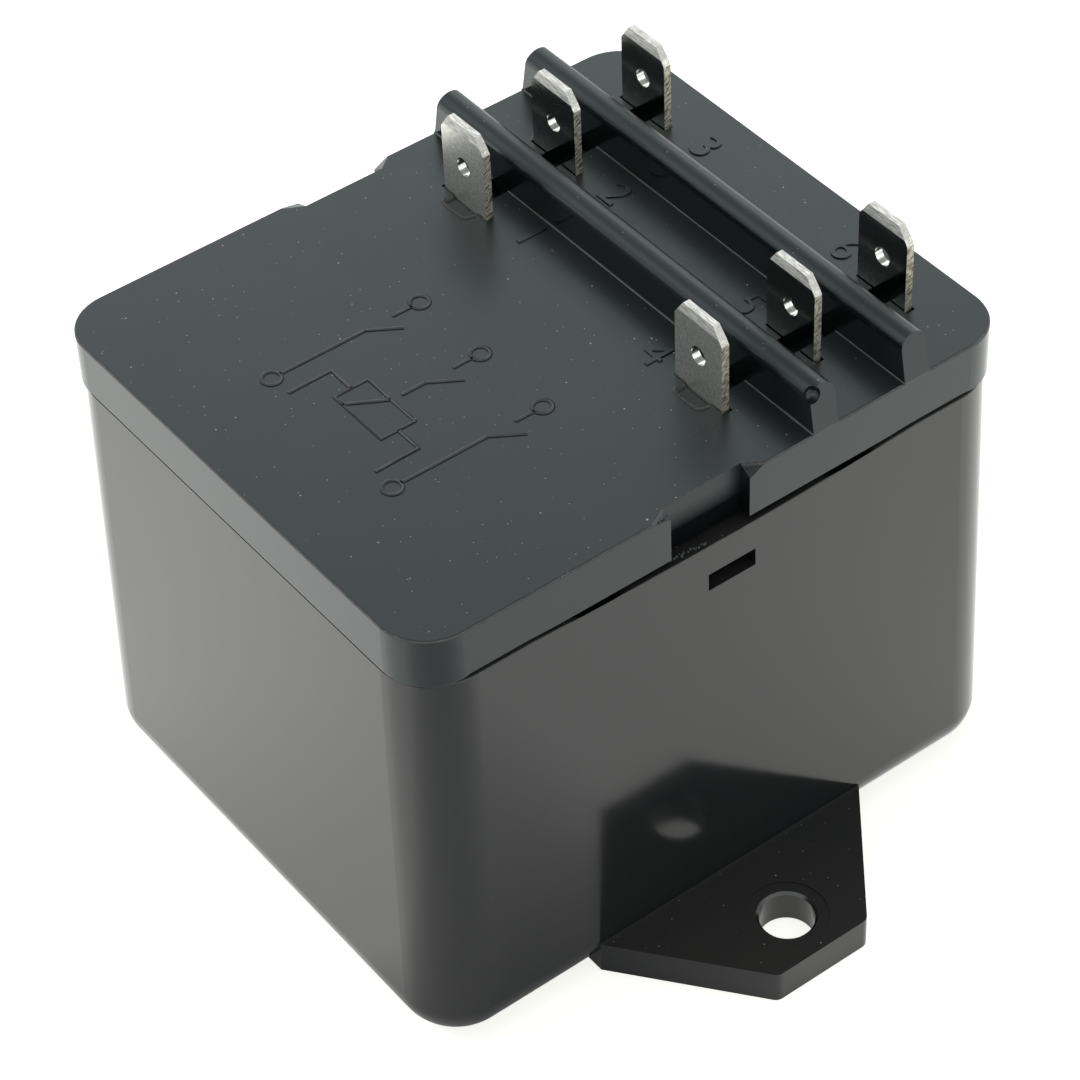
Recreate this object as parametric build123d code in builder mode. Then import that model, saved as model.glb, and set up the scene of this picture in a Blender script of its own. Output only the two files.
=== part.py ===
from build123d import *
import os
from math import cos, radians, sin, sqrt, tan

# Enclosed relay unit with six quick-connect tabs. All sizes are in millimetres.
# X runs along the two ribs and through the two mounting ears, Z is up, and the
# origin is at the middle of the underside.

# Case: a deep moulded cup with a flanged ear at each end
case_height = 45.8
case_base_x = 56.3
case_base_y = 66.6
case_taper_x = 0.6
case_taper_y = 0.9
case_corner = 5.8
case_wall = 2.2
case_floor = 2.6
case_foot_round = 4.0
cavity_foot_round = 1.8
rim_bow = 0.55
rim_bow_span = 42.0
rim_edge_round = 0.1

# Mounting ears
ear_height = 3.55
ear_reach = 13.0
ear_root_width = 31.0
ear_tip_width = 10.5
ear_root_overlap = 5.0
ear_corner = 1.0
ear_hole_inset = 5.1
ear_hole_radius = 2.6
ear_hole_edge = 0.25
ear_spot_radius = 3.9
ear_spot_depth = 0.12

# Snap slots in the case's end walls
slot_y = 0.37
slot_width = 5.2
slot_height = 1.9
slot_below_rim = 3.8

# Lid: a shallow cap that plugs into the case
lid_step_in = 0.25
lid_overhang = 0.15
lid_height = 5.3
lid_corner = 4.85
lid_edge_round = 0.2
lid_foot_round = 0.1
lid_plate = 2.4
plug_clearance = 0.25
plug_wall = 1.4
plug_depth = 3.0
notch_y = -1.74
notch_width = 8.57
notch_depth = 1.29
back_break_run = 1.75
back_break_drop = 0.9
front_break_run = 2.3
front_break_drop = 0.5

# Barrier ribs on the lid
rib_behind_tabs = 5.16
rib_width = 2.76
rib_height = 4.55
rib_top_round = 1.36
rib_end_slope = 10.3
rib_foot_round = 0.2
rib_pit_radius = 0.8
rib_pit_inset = 0.4

# Snap hooks under the lid
hook_side_clearance = 0.3
hook_seat_clearance = 0.1
hook_tip_gap = 1.1
hook_tail = 1.2
hook_nose_lip = 0.6

# Quick-connect tabs, two rows of three
tab_width = 6.35
tab_thick = 0.8
tab_rise = 8.9
tab_back_inset = 5.88
tab_row_pitches = (10.31, 10.52)
tab_columns = [-16.86, 16.86]
tab_hole_radius = 0.95
tab_hole_rise = 4.25
tab_corner_run = 1.15
tab_corner_drop = 1.7
tab_bevel_drop = 1.15
tab_bevel_depth = 0.1
tab_shoulder = 1.1
tab_shoulder_gap = 0.5
tab_leg_width = 1.3
tab_leg_spread = 3.8
tab_slot_clearance = 0.1
tab_slot_spare = 0.3
dish_width = 3.4
dish_start = 1.8
dish_length = 1.55
dish_depth = 0.3
dish_taper = 35.0

# Wells in the lid, from tab to rib
well_width = 2.35
well_depth = 1.7
well_shift = 0.13

# Circuit board, hung from four bosses in the lid
board_gap = 2.15
board_corner = 3.0
board_thick = 1.6
board_drop = 4.1
board_hole_clearance = 0.15
pin_stick_out = 1.2
boss_radius = 2.4
boss_inset = 2.6
back_boss_x = 7.0
back_boss_inset = 3.5
screw_radius = 1.1
screw_clearance = 0.05
screw_bite = 3.6
screw_head_radius = 2.1
screw_head_height = 1.5
screw_recess_length = 2.7
screw_recess_width = 0.6
screw_recess_depth = 0.9

# Relay: base, magnet frame and coil, hanging under the board
relay_x = 0.6
relay_front_inset = 2.9
base_length = 34.8
base_width = 19.5
base_thick = 2.0
frame_width = 13.0
frame_thick = 1.6
frame_reach = 16.0
coil_height = 18.0
core_from_frame = 9.6
core_radius = 3.5
core_neck_radius = 2.4
pole_radius = 4.3
pole_thick = 1.0
bobbin_flange = 14.4
bobbin_flange_thick = 1.0
bobbin_corner = 1.0
bobbin_hub = 0.8
bobbin_fit = 0.05
winding_radius = 6.8
ledge_length = 4.2
ledge_width = 10.4
ledge_depth = 3.6
coil_pin_radius = 0.35
coil_pin_spread = 3.6
common_pin_x = 4.0
common_pin_y = 3.6

# Armature, hinged on the frame's lower edge
frame_from_middle = 13.6
hinge_clearance = 0.1
open_angle = 5.0
armature_thick = 1.4
armature_reach = 15.0
armature_heel = 1.3
lug_width = 2.0
lug_length = 2.5
lug_spread = 10.0
lug_clearance = 0.4
tail_width = 5.0
tail_end_margin = 0.9

# Moving blade and its contact
blade_width = 5.0
blade_thick = 0.4
blade_start = 6.5
blade_end = 25.8
blade_corner = 1.25
blade_rivet_at = 9.5
blade_rivet_spread = 2.6
blade_rivet_radius = 0.65
blade_rivet_head = 1.1
blade_rivet_height = 0.4
contact_at = 24.0
contact_radius = 1.75
contact_height = 0.9
contact_round = 0.25
contact_shank = 0.8
contact_gap = 0.09

# Fixed contact arms, held in slots in the base
arm_width = 5.0
arm_thick = 0.8
arm_overhang = 2.4
arm_spacing = 2.2
arm_slot_clearance = 0.05
make_arm_x = 12.4
pin_width = 1.6
post_height = 15.0
post_width = 12.0
post_margin = 1.0

# Return spring between the armature's tail and the frame's hook plate
spring_wire = 0.2
spring_radius = 1.4
spring_from_frame = 2.6
spring_pitch = 0.75
spring_turns = 12
spring_leg = 1.6
spring_seat = 0.05
spring_hole_radius = 0.6
hook_plate_width = 4.0
hook_plate_thick = 1.0

# Parts of the circuit on the board
lead_radius = 0.4
film_size = (7.0, 13.0, 13.0)
film_corner = 0.8
film_columns = [-8.8, -1.4]
film_lead_pitch = 10.0
can_radius = 4.0
can_height = 11.5
can_x = 8.2
can_ahead = 3.3
can_groove_depth = 0.3
can_groove_rise = 1.8
can_round = 0.6
can_lead_pitch = 3.5
bridge_size = (8.4, 6.4, 3.3)
bridge_corner = 0.5
bridge_behind = 4.2
bridge_lead_pitch = 5.1
bridge_row_pitch = 7.4
resistor_radius = 2.4
resistor_length = 11.5
resistor_waist = 0.35
resistor_cap = 2.2
resistor_drop = 1.5
resistor_columns = [-14.8, 0.0, 14.8]
resistor_lead_pitch = 13.2
disc_radius = 4.4
disc_thick = 3.6
disc_round = 1.2
disc_drop = 1.0
disc_x = -17.6
disc_lead_pitch = 5.0
driver_radius = 2.4
driver_height = 4.6
driver_flat = 1.3
driver_drop = 2.0
driver_x = 17.4
driver_lead_pitch = 1.27
driver_lead_radius = 0.22
small_resistor_radius = 1.15
small_resistor_length = 6.4
small_resistor_drop = 0.5
small_resistor_spacing = 3.0
small_lead_pitch = 7.6

# Sizes worked out from those above
case_rim_x = case_base_x - 2 * case_taper_x
case_rim_y = case_base_y - 2 * case_taper_y
lid_x = case_rim_x - 2 * lid_step_in
lid_y = case_rim_y + 2 * lid_overhang
board_x = case_rim_x - 2 * (case_wall + board_gap)
board_y = case_rim_y - 2 * (case_wall + board_gap)
boss_x = board_x / 2 - boss_inset
boss_y = board_y / 2 - boss_inset
back_boss_y = board_y / 2 - back_boss_inset
boss_places = [
    (-boss_x, -boss_y),
    (boss_x, -boss_y),
    (-back_boss_x, back_boss_y),
    (back_boss_x, back_boss_y),
]
back_row = lid_y / 2 - tab_back_inset
middle_row = back_row - tab_row_pitches[1]
front_row = middle_row - tab_row_pitches[0]
tab_rows = [front_row, middle_row, back_row]
tab_places = [(column, row) for column in tab_columns for row in tab_rows]
rib_places = [front_row + rib_behind_tabs, middle_row + rib_behind_tabs]
lid_top = case_height + lid_height
lid_under = lid_top - lid_plate
plug_x = case_rim_x - 2 * (case_wall + plug_clearance)
plug_y = case_rim_y - 2 * (case_wall + plug_clearance)
plug_corner = case_corner - case_wall - plug_clearance
pocket_x = plug_x - 2 * plug_wall
pocket_y = plug_y - 2 * plug_wall
pocket_corner = plug_corner - plug_wall / 2
slot_z = case_height - slot_below_rim - slot_height / 2
ear_tip = case_base_x / 2 + ear_reach
ear_hole_x = ear_tip - ear_hole_inset
board_top = lid_under - board_drop
board_under = board_top - board_thick
pin_top = board_top + pin_stick_out
base_under = board_under - base_thick
frame_under = base_under - frame_thick
pole_face = frame_under - coil_height
frame_left = relay_x - frame_from_middle
core_x = frame_left + core_from_frame
hinge_z = pole_face - hinge_clearance

# The resistors and the film capacitors share the room from the relay to the back screws
relay_y = relay_front_inset + (base_width - board_y) / 2
relay_back = relay_y + base_width / 2
row_room = back_boss_y - screw_head_radius - relay_back
row_gap = (row_room - 2 * resistor_radius - film_size[1]) / 3
resistor_y = relay_back + row_gap + resistor_radius
film_y = resistor_y + resistor_radius + row_gap + film_size[1] / 2
resistor_places = [(column, resistor_y) for column in resistor_columns]
film_places = [(column, film_y) for column in film_columns]
can_place = (can_x, film_y - can_ahead)
bridge_place = (can_x, film_y + bridge_behind)

# The discs, the driver and the small resistors sit between the rows of tabs
disc_places = [(disc_x, (front_row + middle_row) / 2), (disc_x, (middle_row + back_row) / 2)]
driver_place = (driver_x, (front_row + middle_row) / 2)
small_resistor_place = (driver_x, (middle_row + back_row) / 2)

os.makedirs("parts", exist_ok=True)


def under_board(height=0.0):
    """Plane level with the board's underside, lowered by a height."""
    return Plane.XY.offset(board_under - height)


def lead_holes(place, pitch, along_y=False):
    """Two lead places a pitch apart, about the middle of a part."""
    half = pitch / 2
    x, y = place
    if along_y:
        return [(x, y - half), (x, y + half)]
    return [(x - half, y), (x + half, y)]


# Case
with BuildPart() as case:
    with BuildSketch(Plane.XY):
        RectangleRounded(case_base_x, case_base_y, case_corner)
    with BuildSketch(Plane.XY.offset(case_height)):
        RectangleRounded(case_rim_x, case_rim_y, case_corner)
    loft()
    fillet(case.faces().sort_by(Axis.Z)[0].edges(), case_foot_round)
    # The rim sags a little in the middle of both ends
    with BuildSketch(Plane.YZ):
        with BuildLine():
            bow_end = rim_bow_span / 2
            ThreePointArc(
                (-bow_end, case_height), (0, case_height - rim_bow), (bow_end, case_height)
            )
            Line((bow_end, case_height), (-bow_end, case_height))
        make_face()
    extrude(amount=case_base_x / 2, both=True, mode=Mode.SUBTRACT)
    rim_edges = case.edges().filter_by_position(
        Axis.Z, case_height - 2 * rim_bow, case_height + rim_bow
    )
    bow_ends = rim_edges.filter_by(Axis.X).sort_by(Axis.Y)[1:-1]
    fillet(rim_edges - bow_ends, rim_edge_round)
    # Ears grow out of the rounded foot at both ends
    with BuildSketch(Plane.XY) as ear_outline:
        with BuildLine():
            inside = case_base_x / 2 - ear_root_overlap
            Polyline(
                (inside, -ear_root_width / 2),
                (case_base_x / 2, -ear_root_width / 2),
                (ear_tip, -ear_tip_width / 2),
                (ear_tip, ear_tip_width / 2),
                (case_base_x / 2, ear_root_width / 2),
                (inside, ear_root_width / 2),
                close=True,
            )
        make_face()
        fillet(ear_outline.vertices().group_by(Axis.X)[-1], ear_corner)
        mirror(about=Plane.YZ)
    extrude(amount=ear_height)
    # Inside of the cup
    with BuildSketch(Plane.XY.offset(case_floor)):
        RectangleRounded(
            case_rim_x - 2 * case_wall, case_rim_y - 2 * case_wall, case_corner - case_wall
        )
    extrude(amount=case_height, mode=Mode.SUBTRACT)
    cup_floor = case.faces().filter_by(Plane.XY).sort_by(Axis.Z)[1]
    fillet(cup_floor.edges(), cavity_foot_round)
    # Snap slots, right through both end walls
    with BuildSketch(Plane.YZ):
        with Locations((slot_y, slot_z)):
            Rectangle(slot_width, slot_height)
    extrude(amount=case_base_x / 2, both=True, mode=Mode.SUBTRACT)
    # Ear holes with a shallow spot face
    with BuildSketch(Plane.XY.offset(ear_height)):
        with Locations((-ear_hole_x, 0), (ear_hole_x, 0)):
            Circle(ear_spot_radius)
    extrude(amount=-ear_spot_depth, mode=Mode.SUBTRACT)
    with BuildSketch(Plane.XY):
        with Locations((-ear_hole_x, 0), (ear_hole_x, 0)):
            Circle(ear_hole_radius)
    extrude(amount=ear_height, mode=Mode.SUBTRACT)
    chamfer(case.edges(Select.LAST).group_by(Axis.Z)[-1], ear_hole_edge)
case.part.label = "case"
export_step(case.part, "parts/case.step")


# Lid: ribs first, as a blank that the lid takes in
with BuildPart() as rib_blank:
    rib_low = lid_top - lid_edge_round
    for rib_y in rib_places:
        with BuildSketch(Plane.YZ) as rib_section:
            with Locations((rib_y, rib_low)):
                Rectangle(rib_width, lid_edge_round + rib_height, align=(Align.CENTER, Align.MIN))
            fillet(rib_section.vertices().group_by(Axis.Y)[-1], rib_top_round)
            with Locations((rib_y, lid_top)):
                Rectangle(
                    rib_width + 2 * rib_foot_round, rib_foot_round, align=(Align.CENTER, Align.MIN)
                )
            foot_offset = rib_width / 2 + rib_foot_round
            with Locations(
                (rib_y - foot_offset, lid_top + rib_foot_round),
                (rib_y + foot_offset, lid_top + rib_foot_round),
            ):
                Circle(rib_foot_round, mode=Mode.SUBTRACT)
        extrude(amount=lid_x / 2, both=True)
    rib_inset = rib_height * tan(radians(rib_end_slope))
    with BuildSketch(Plane.XZ):
        with BuildLine():
            Polyline(
                (-lid_x / 2, rib_low),
                (-lid_x / 2, lid_top),
                (-lid_x / 2 + rib_inset, lid_top + rib_height),
                (lid_x / 2 - rib_inset, lid_top + rib_height),
                (lid_x / 2, lid_top),
                (lid_x / 2, rib_low),
                close=True,
            )
        make_face()
    extrude(amount=lid_y / 2, both=True, mode=Mode.INTERSECT)

with BuildPart() as lid:
    with BuildSketch(Plane.XY.offset(case_height)):
        RectangleRounded(lid_x, lid_y, lid_corner)
    extrude(amount=lid_height)
    fillet(lid.faces().sort_by(Axis.Z)[-1].edges(), lid_edge_round)
    fillet(lid.faces().sort_by(Axis.Z)[0].edges(), lid_foot_round)
    add(rib_blank.part)
    # Plug that fits inside the case's rim
    with BuildSketch(Plane.XY.offset(case_height)):
        RectangleRounded(plug_x, plug_y, plug_corner)
    extrude(amount=-plug_depth)
    with BuildSketch(Plane.XY.offset(lid_under)):
        RectangleRounded(pocket_x, pocket_y, pocket_corner)
    extrude(amount=-(lid_under - case_height + plug_depth), mode=Mode.SUBTRACT)
    # Pry notches in both ends, with their top corners broken down
    notch_low = notch_y - notch_width / 2
    notch_high = notch_y + notch_width / 2
    with BuildSketch(Plane.XY.offset(case_height)):
        with Locations(
            (lid_x / 2 - notch_depth / 2, notch_y), (-lid_x / 2 + notch_depth / 2, notch_y)
        ):
            Rectangle(notch_depth, notch_width)
    extrude(amount=lid_height, mode=Mode.SUBTRACT)
    for end in (-1, 1):
        for corner_y, run, drop in (
            (notch_high, back_break_run, back_break_drop),
            (notch_low, -front_break_run, front_break_drop),
        ):
            with BuildSketch(Plane.YZ.offset(end * lid_x / 2), mode=Mode.PRIVATE) as chip:
                with BuildLine():
                    Polyline(
                        (corner_y, lid_top),
                        (corner_y, lid_top - drop),
                        (corner_y + run, lid_top),
                        close=True,
                    )
                make_face()
            inner_corner = Vertex(end * (lid_x / 2 - notch_depth), corner_y, lid_top)
            loft([chip.sketch.face(), inner_corner], mode=Mode.SUBTRACT)
    # Slots for the tabs, a little longer at the outer end
    slot_long = tab_width + 2 * tab_slot_clearance
    with BuildSketch(Plane.XY.offset(lid_top)):
        for column, row in tab_places:
            slot_shift = tab_slot_spare / 2 if column > 0 else -tab_slot_spare / 2
            with Locations((column + slot_shift, row)):
                Rectangle(slot_long + tab_slot_spare, tab_thick + 2 * tab_slot_clearance)
    extrude(amount=-lid_plate, mode=Mode.SUBTRACT)
    # Shallow dishes in front of the first row of tabs
    with BuildSketch(Plane.XY.offset(lid_top)):
        for column in tab_columns:
            with Locations((column, tab_rows[0] - dish_start)):
                Rectangle(dish_width, dish_length, align=(Align.CENTER, Align.MIN))
    extrude(amount=-dish_depth, taper=dish_taper, mode=Mode.SUBTRACT)
    # Wells across the middles of the tabs, which the ribs bridge
    front_rib, back_rib = rib_places
    well_spans = [
        (front_row, front_rib - rib_width / 2),
        (front_rib + rib_width / 2, back_rib - rib_width / 2),
        (back_rib + rib_width / 2, back_row),
    ]
    with BuildSketch(Plane.XY.offset(lid_top + rib_foot_round)):
        for column in tab_columns:
            well_x = column + (well_shift if column > 0 else -well_shift)
            for well_low, well_high in well_spans:
                with Locations((well_x, (well_low + well_high) / 2)):
                    Rectangle(well_width, well_high - well_low)
    extrude(amount=-(rib_foot_round + well_depth), mode=Mode.SUBTRACT)
    # Bosses that carry the board
    with BuildSketch(Plane.XY.offset(lid_under)):
        with Locations(*boss_places):
            Circle(boss_radius)
    extrude(amount=-board_drop)
    with BuildSketch(Plane.XY.offset(board_top)):
        with Locations(*boss_places):
            Circle(screw_radius + screw_clearance)
    extrude(amount=screw_bite, mode=Mode.SUBTRACT)
    # Snap hooks: an arm down from the plug and a nose in the case's slot
    hook_width = slot_width - 2 * hook_side_clearance
    hook_bottom = slot_z - slot_height / 2 - hook_tail
    wall_at_slot = case_rim_x / 2 - hook_tip_gap
    nose_top = slot_z + slot_height / 2 - hook_seat_clearance
    nose_low = slot_z - slot_height / 2 + hook_seat_clearance
    with BuildSketch(Plane.XZ.offset(-slot_y)):
        with BuildLine():
            Polyline(
                (plug_x / 2 - plug_wall, case_height - plug_depth),
                (plug_x / 2 - plug_wall, hook_bottom),
                (plug_x / 2 - plug_wall / 2, hook_bottom),
                (plug_x / 2, nose_low),
                (wall_at_slot, nose_top - hook_nose_lip),
                (wall_at_slot, nose_top),
                (plug_x / 2, nose_top),
                (plug_x / 2, case_height - plug_depth),
                close=True,
            )
        make_face()
        mirror(about=Plane.YZ)
    extrude(amount=hook_width / 2, both=True)
    # Pit in the end of the first rib
    with Locations(
        (
            lid_x / 2 - rib_pit_radius,
            rib_places[0] - rib_width / 2 + rib_pit_inset,
            lid_top + rib_height - rib_pit_radius,
        )
    ):
        Sphere(rib_pit_radius, mode=Mode.SUBTRACT)
lid.part.label = "lid"
export_step(lid.part, "parts/lid.step")


# Quick-connect tabs with a shoulder under the lid and two legs in the board
shoulder_top = lid_under - tab_shoulder_gap
tab_top = lid_top + tab_rise
for number, (column, row) in enumerate(tab_places, start=1):
    with BuildPart() as tab:
        with BuildSketch(Plane.XZ.offset(-row)):
            with BuildLine():
                half = tab_width / 2
                wide = half + tab_shoulder
                Polyline(
                    (column - half + tab_corner_run, tab_top),
                    (column + half - tab_corner_run, tab_top),
                    (column + half, tab_top - tab_corner_drop),
                    (column + half, shoulder_top),
                    (column + wide, shoulder_top),
                    (column + wide, board_top),
                    (column - wide, board_top),
                    (column - wide, shoulder_top),
                    (column - half, shoulder_top),
                    (column - half, tab_top - tab_corner_drop),
                    close=True,
                )
            make_face()
            leg_length = board_thick + pin_stick_out
            for side in (-1, 1):
                with Locations((column + side * tab_leg_spread / 2, board_top)):
                    Rectangle(tab_leg_width, leg_length, align=(Align.CENTER, Align.MAX))
            with Locations((column, lid_top + tab_hole_rise)):
                Circle(tab_hole_radius, mode=Mode.SUBTRACT)
        extrude(amount=tab_thick / 2, both=True)
        # The tip is coined thinner on both faces
        with BuildSketch(Plane.YZ.offset(column)):
            with BuildLine():
                Polyline(
                    (row + tab_thick / 2, tab_top - tab_bevel_drop),
                    (row + tab_thick / 2 - tab_bevel_depth, tab_top),
                    (row + tab_thick, tab_top),
                    (row + tab_thick, tab_top - tab_bevel_drop),
                    close=True,
                )
            make_face()
            mirror(about=Plane.XZ.offset(-row))
        extrude(amount=tab_width / 2, both=True, mode=Mode.SUBTRACT)
    tab.part.label = f"terminal_{number}"
    export_step(tab.part, f"parts/terminal_{number}.step")


# Places of the pins and leads that pass through the board
make_pin = (relay_x + make_arm_x + arm_thick / 2, relay_y)
break_pin = (make_pin[0] + arm_spacing, relay_y)
common_pin = (frame_left + common_pin_x, relay_y + common_pin_y)
ledge_left = core_x + bobbin_flange / 2
ledge_right = ledge_left + ledge_length
coil_pin_x = (ledge_left + ledge_right) / 2
coil_pins_at = [(coil_pin_x, relay_y - coil_pin_spread), (coil_pin_x, relay_y + coil_pin_spread)]
blade_pins = [make_pin, break_pin, common_pin]
lead_places = []
for place in film_places:
    lead_places += lead_holes(place, film_lead_pitch, along_y=True)
for place in resistor_places:
    lead_places += lead_holes(place, resistor_lead_pitch)
for place in disc_places:
    lead_places += lead_holes(place, disc_lead_pitch)
lead_places += lead_holes(can_place, can_lead_pitch)
bridge_leads = []
for side in (-bridge_lead_pitch / 2, bridge_lead_pitch / 2):
    bridge_leads += lead_holes((bridge_place[0], bridge_place[1] + side), bridge_row_pitch)
lead_places += bridge_leads
driver_leads = []
for step in (-1, 0, 1):
    driver_leads.append((driver_place[0], driver_place[1] + step * driver_lead_pitch))
small_resistor_rows = []
for step in (-1, 0, 1):
    small_resistor_rows.append(
        (small_resistor_place[0], small_resistor_place[1] + step * small_resistor_spacing)
    )
small_leads = []
for place in small_resistor_rows:
    small_leads += lead_holes(place, small_lead_pitch)
thin_lead_places = driver_leads + small_leads

# Circuit board
with BuildPart() as circuit_board:
    with BuildSketch(Plane.XY.offset(board_under)):
        RectangleRounded(board_x, board_y, board_corner)
        with Locations(*boss_places):
            Circle(screw_radius + board_hole_clearance, mode=Mode.SUBTRACT)
        for column, row in tab_places:
            with Locations((column - tab_leg_spread / 2, row), (column + tab_leg_spread / 2, row)):
                Rectangle(
                    tab_leg_width + 2 * board_hole_clearance,
                    tab_thick + 2 * board_hole_clearance,
                    mode=Mode.SUBTRACT,
                )
        with Locations(*blade_pins):
            Rectangle(
                arm_thick + 2 * board_hole_clearance,
                pin_width + 2 * board_hole_clearance,
                mode=Mode.SUBTRACT,
            )
        with Locations(*coil_pins_at):
            Circle(coil_pin_radius + board_hole_clearance, mode=Mode.SUBTRACT)
        with Locations(*lead_places):
            Circle(lead_radius + board_hole_clearance, mode=Mode.SUBTRACT)
        with Locations(*thin_lead_places):
            Circle(driver_lead_radius + board_hole_clearance, mode=Mode.SUBTRACT)
    extrude(amount=board_thick)
circuit_board.part.label = "circuit_board"
export_step(circuit_board.part, "parts/circuit_board.step")

# Four board screws, as separate solids in one node
with BuildPart() as board_screws:
    with BuildSketch(under_board()):
        with Locations(*boss_places):
            Circle(screw_head_radius)
    extrude(amount=-screw_head_height)
    with BuildSketch(under_board()):
        with Locations(*boss_places):
            Circle(screw_radius)
    extrude(amount=board_thick + screw_bite - 2 * screw_clearance)
    with BuildSketch(under_board(screw_head_height)):
        with Locations(*boss_places):
            Rectangle(screw_recess_length, screw_recess_width)
            Rectangle(screw_recess_width, screw_recess_length)
    extrude(amount=screw_recess_depth, mode=Mode.SUBTRACT)
board_screws.part.label = "board_screws"
export_step(board_screws.part, "parts/board_screws.step")


# Relay base with the post that holds the fixed contact arms
arm_slot = arm_thick + 2 * arm_slot_clearance
post_left = make_pin[0] - arm_thick / 2 - post_margin
post_right = break_pin[0] + arm_thick / 2 + post_margin
with BuildPart() as relay_base:
    with BuildSketch(under_board()):
        with Locations((relay_x, relay_y)):
            RectangleRounded(base_length, base_width, bobbin_corner)
    extrude(amount=-base_thick)
    with BuildSketch(Plane.XY.offset(base_under)):
        with Locations(((post_left + post_right) / 2, relay_y)):
            Rectangle(post_right - post_left, post_width)
    extrude(amount=-post_height)
    with BuildSketch(under_board()):
        with Locations(make_pin, break_pin):
            Rectangle(arm_slot, arm_width + 2 * arm_slot_clearance)
    extrude(amount=-(base_thick + post_height), mode=Mode.SUBTRACT)
    with BuildSketch(under_board()):
        with Locations(common_pin):
            Rectangle(arm_slot, pin_width + 2 * arm_slot_clearance)
        with Locations(*coil_pins_at):
            Circle(coil_pin_radius + arm_slot_clearance)
    extrude(amount=-base_thick, mode=Mode.SUBTRACT)
relay_base.part.label = "relay_base"
export_step(relay_base.part, "parts/relay_base.step")

# Magnet frame: an angle of steel with hinge lugs and a hook plate
spring_x = frame_left - spring_from_frame
tail_reach = spring_from_frame + tail_end_margin
tail_drop = armature_thick * cos(radians(open_angle))
tail_lift = (spring_from_frame - tail_end_margin) * sin(radians(open_angle))
tail_under = hinge_z + tail_lift - tail_drop
ring_rise = sqrt((spring_radius - spring_wire) ** 2 - tail_end_margin**2) - spring_seat
lower_ring_z = tail_under + ring_rise
coil_start = lower_ring_z + spring_leg
coil_end = coil_start + spring_turns * spring_pitch
upper_ring_z = coil_end + spring_leg
hook_plate_top = upper_ring_z + ring_rise
with BuildPart() as magnet_frame:
    with BuildSketch(Plane.XY.offset(base_under)):
        with Locations((frame_left, relay_y)):
            Rectangle(frame_reach, frame_width, align=(Align.MIN, Align.CENTER))
        with Locations((core_x, relay_y)):
            Circle(core_neck_radius, mode=Mode.SUBTRACT)
    extrude(amount=-frame_thick)
    with BuildSketch(Plane.XY.offset(frame_under)):
        with Locations((frame_left, relay_y)):
            Rectangle(frame_thick, frame_width, align=(Align.MIN, Align.CENTER))
    extrude(amount=-coil_height)
    with BuildSketch(Plane.XY.offset(pole_face)):
        for side in (-1, 1):
            with Locations((frame_left, relay_y + side * lug_spread / 2)):
                Rectangle(frame_thick, lug_width, align=(Align.MIN, Align.CENTER))
    extrude(amount=-lug_length)
    with BuildSketch(Plane.XY.offset(hook_plate_top)):
        with Locations((frame_left, relay_y)):
            Rectangle(tail_reach, hook_plate_width, align=(Align.MAX, Align.CENTER))
        with Locations((spring_x + spring_radius, relay_y)):
            Circle(spring_hole_radius, mode=Mode.SUBTRACT)
    extrude(amount=-hook_plate_thick)
magnet_frame.part.label = "magnet_frame"
export_step(magnet_frame.part, "parts/magnet_frame.step")

# Core with its pole face, riveted into the frame
with BuildPart() as core:
    with BuildSketch(Plane.XY.offset(pole_face)):
        with Locations((core_x, relay_y)):
            Circle(pole_radius)
    extrude(amount=pole_thick)
    with BuildSketch(Plane.XY.offset(pole_face + pole_thick)):
        with Locations((core_x, relay_y)):
            Circle(core_radius)
    extrude(amount=coil_height - pole_thick)
    with BuildSketch(Plane.XY.offset(frame_under)):
        with Locations((core_x, relay_y)):
            Circle(core_neck_radius)
    extrude(amount=frame_thick)
core.part.label = "core"
export_step(core.part, "parts/core.step")

# Bobbin with two flanges and a ledge for the coil pins
flange_low = pole_face + pole_thick
with BuildPart() as bobbin:
    with BuildSketch(Plane.XY.offset(flange_low)):
        with Locations((core_x, relay_y)):
            RectangleRounded(bobbin_flange, bobbin_flange, bobbin_corner)
    extrude(amount=bobbin_flange_thick)
    with BuildSketch(Plane.XY.offset(flange_low)):
        with Locations((core_x, relay_y)):
            Circle(core_radius + bobbin_fit + bobbin_hub)
    extrude(amount=frame_under - flange_low)
    with BuildSketch(Plane.XY.offset(frame_under)):
        with Locations((core_x, relay_y)):
            RectangleRounded(bobbin_flange, bobbin_flange, bobbin_corner)
        with Locations((ledge_left, relay_y)):
            Rectangle(ledge_length, ledge_width, align=(Align.MIN, Align.CENTER))
        with Locations((core_x, relay_y)):
            Rectangle(ledge_left - core_x, ledge_width, align=(Align.MIN, Align.CENTER))
    extrude(amount=-bobbin_flange_thick)
    with BuildSketch(Plane.XY.offset(base_under)):
        with Locations((ledge_left, relay_y)):
            Rectangle(ledge_length, ledge_width, align=(Align.MIN, Align.CENTER))
    extrude(amount=-ledge_depth)
    with BuildSketch(Plane.XY.offset(flange_low)):
        with Locations((core_x, relay_y)):
            Circle(core_radius + bobbin_fit)
    extrude(amount=coil_height, mode=Mode.SUBTRACT)
    with BuildSketch(Plane.XY.offset(base_under)):
        with Locations(*coil_pins_at):
            Circle(coil_pin_radius)
    extrude(amount=-ledge_depth, mode=Mode.SUBTRACT)
bobbin.part.label = "bobbin"
export_step(bobbin.part, "parts/bobbin.step")

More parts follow.
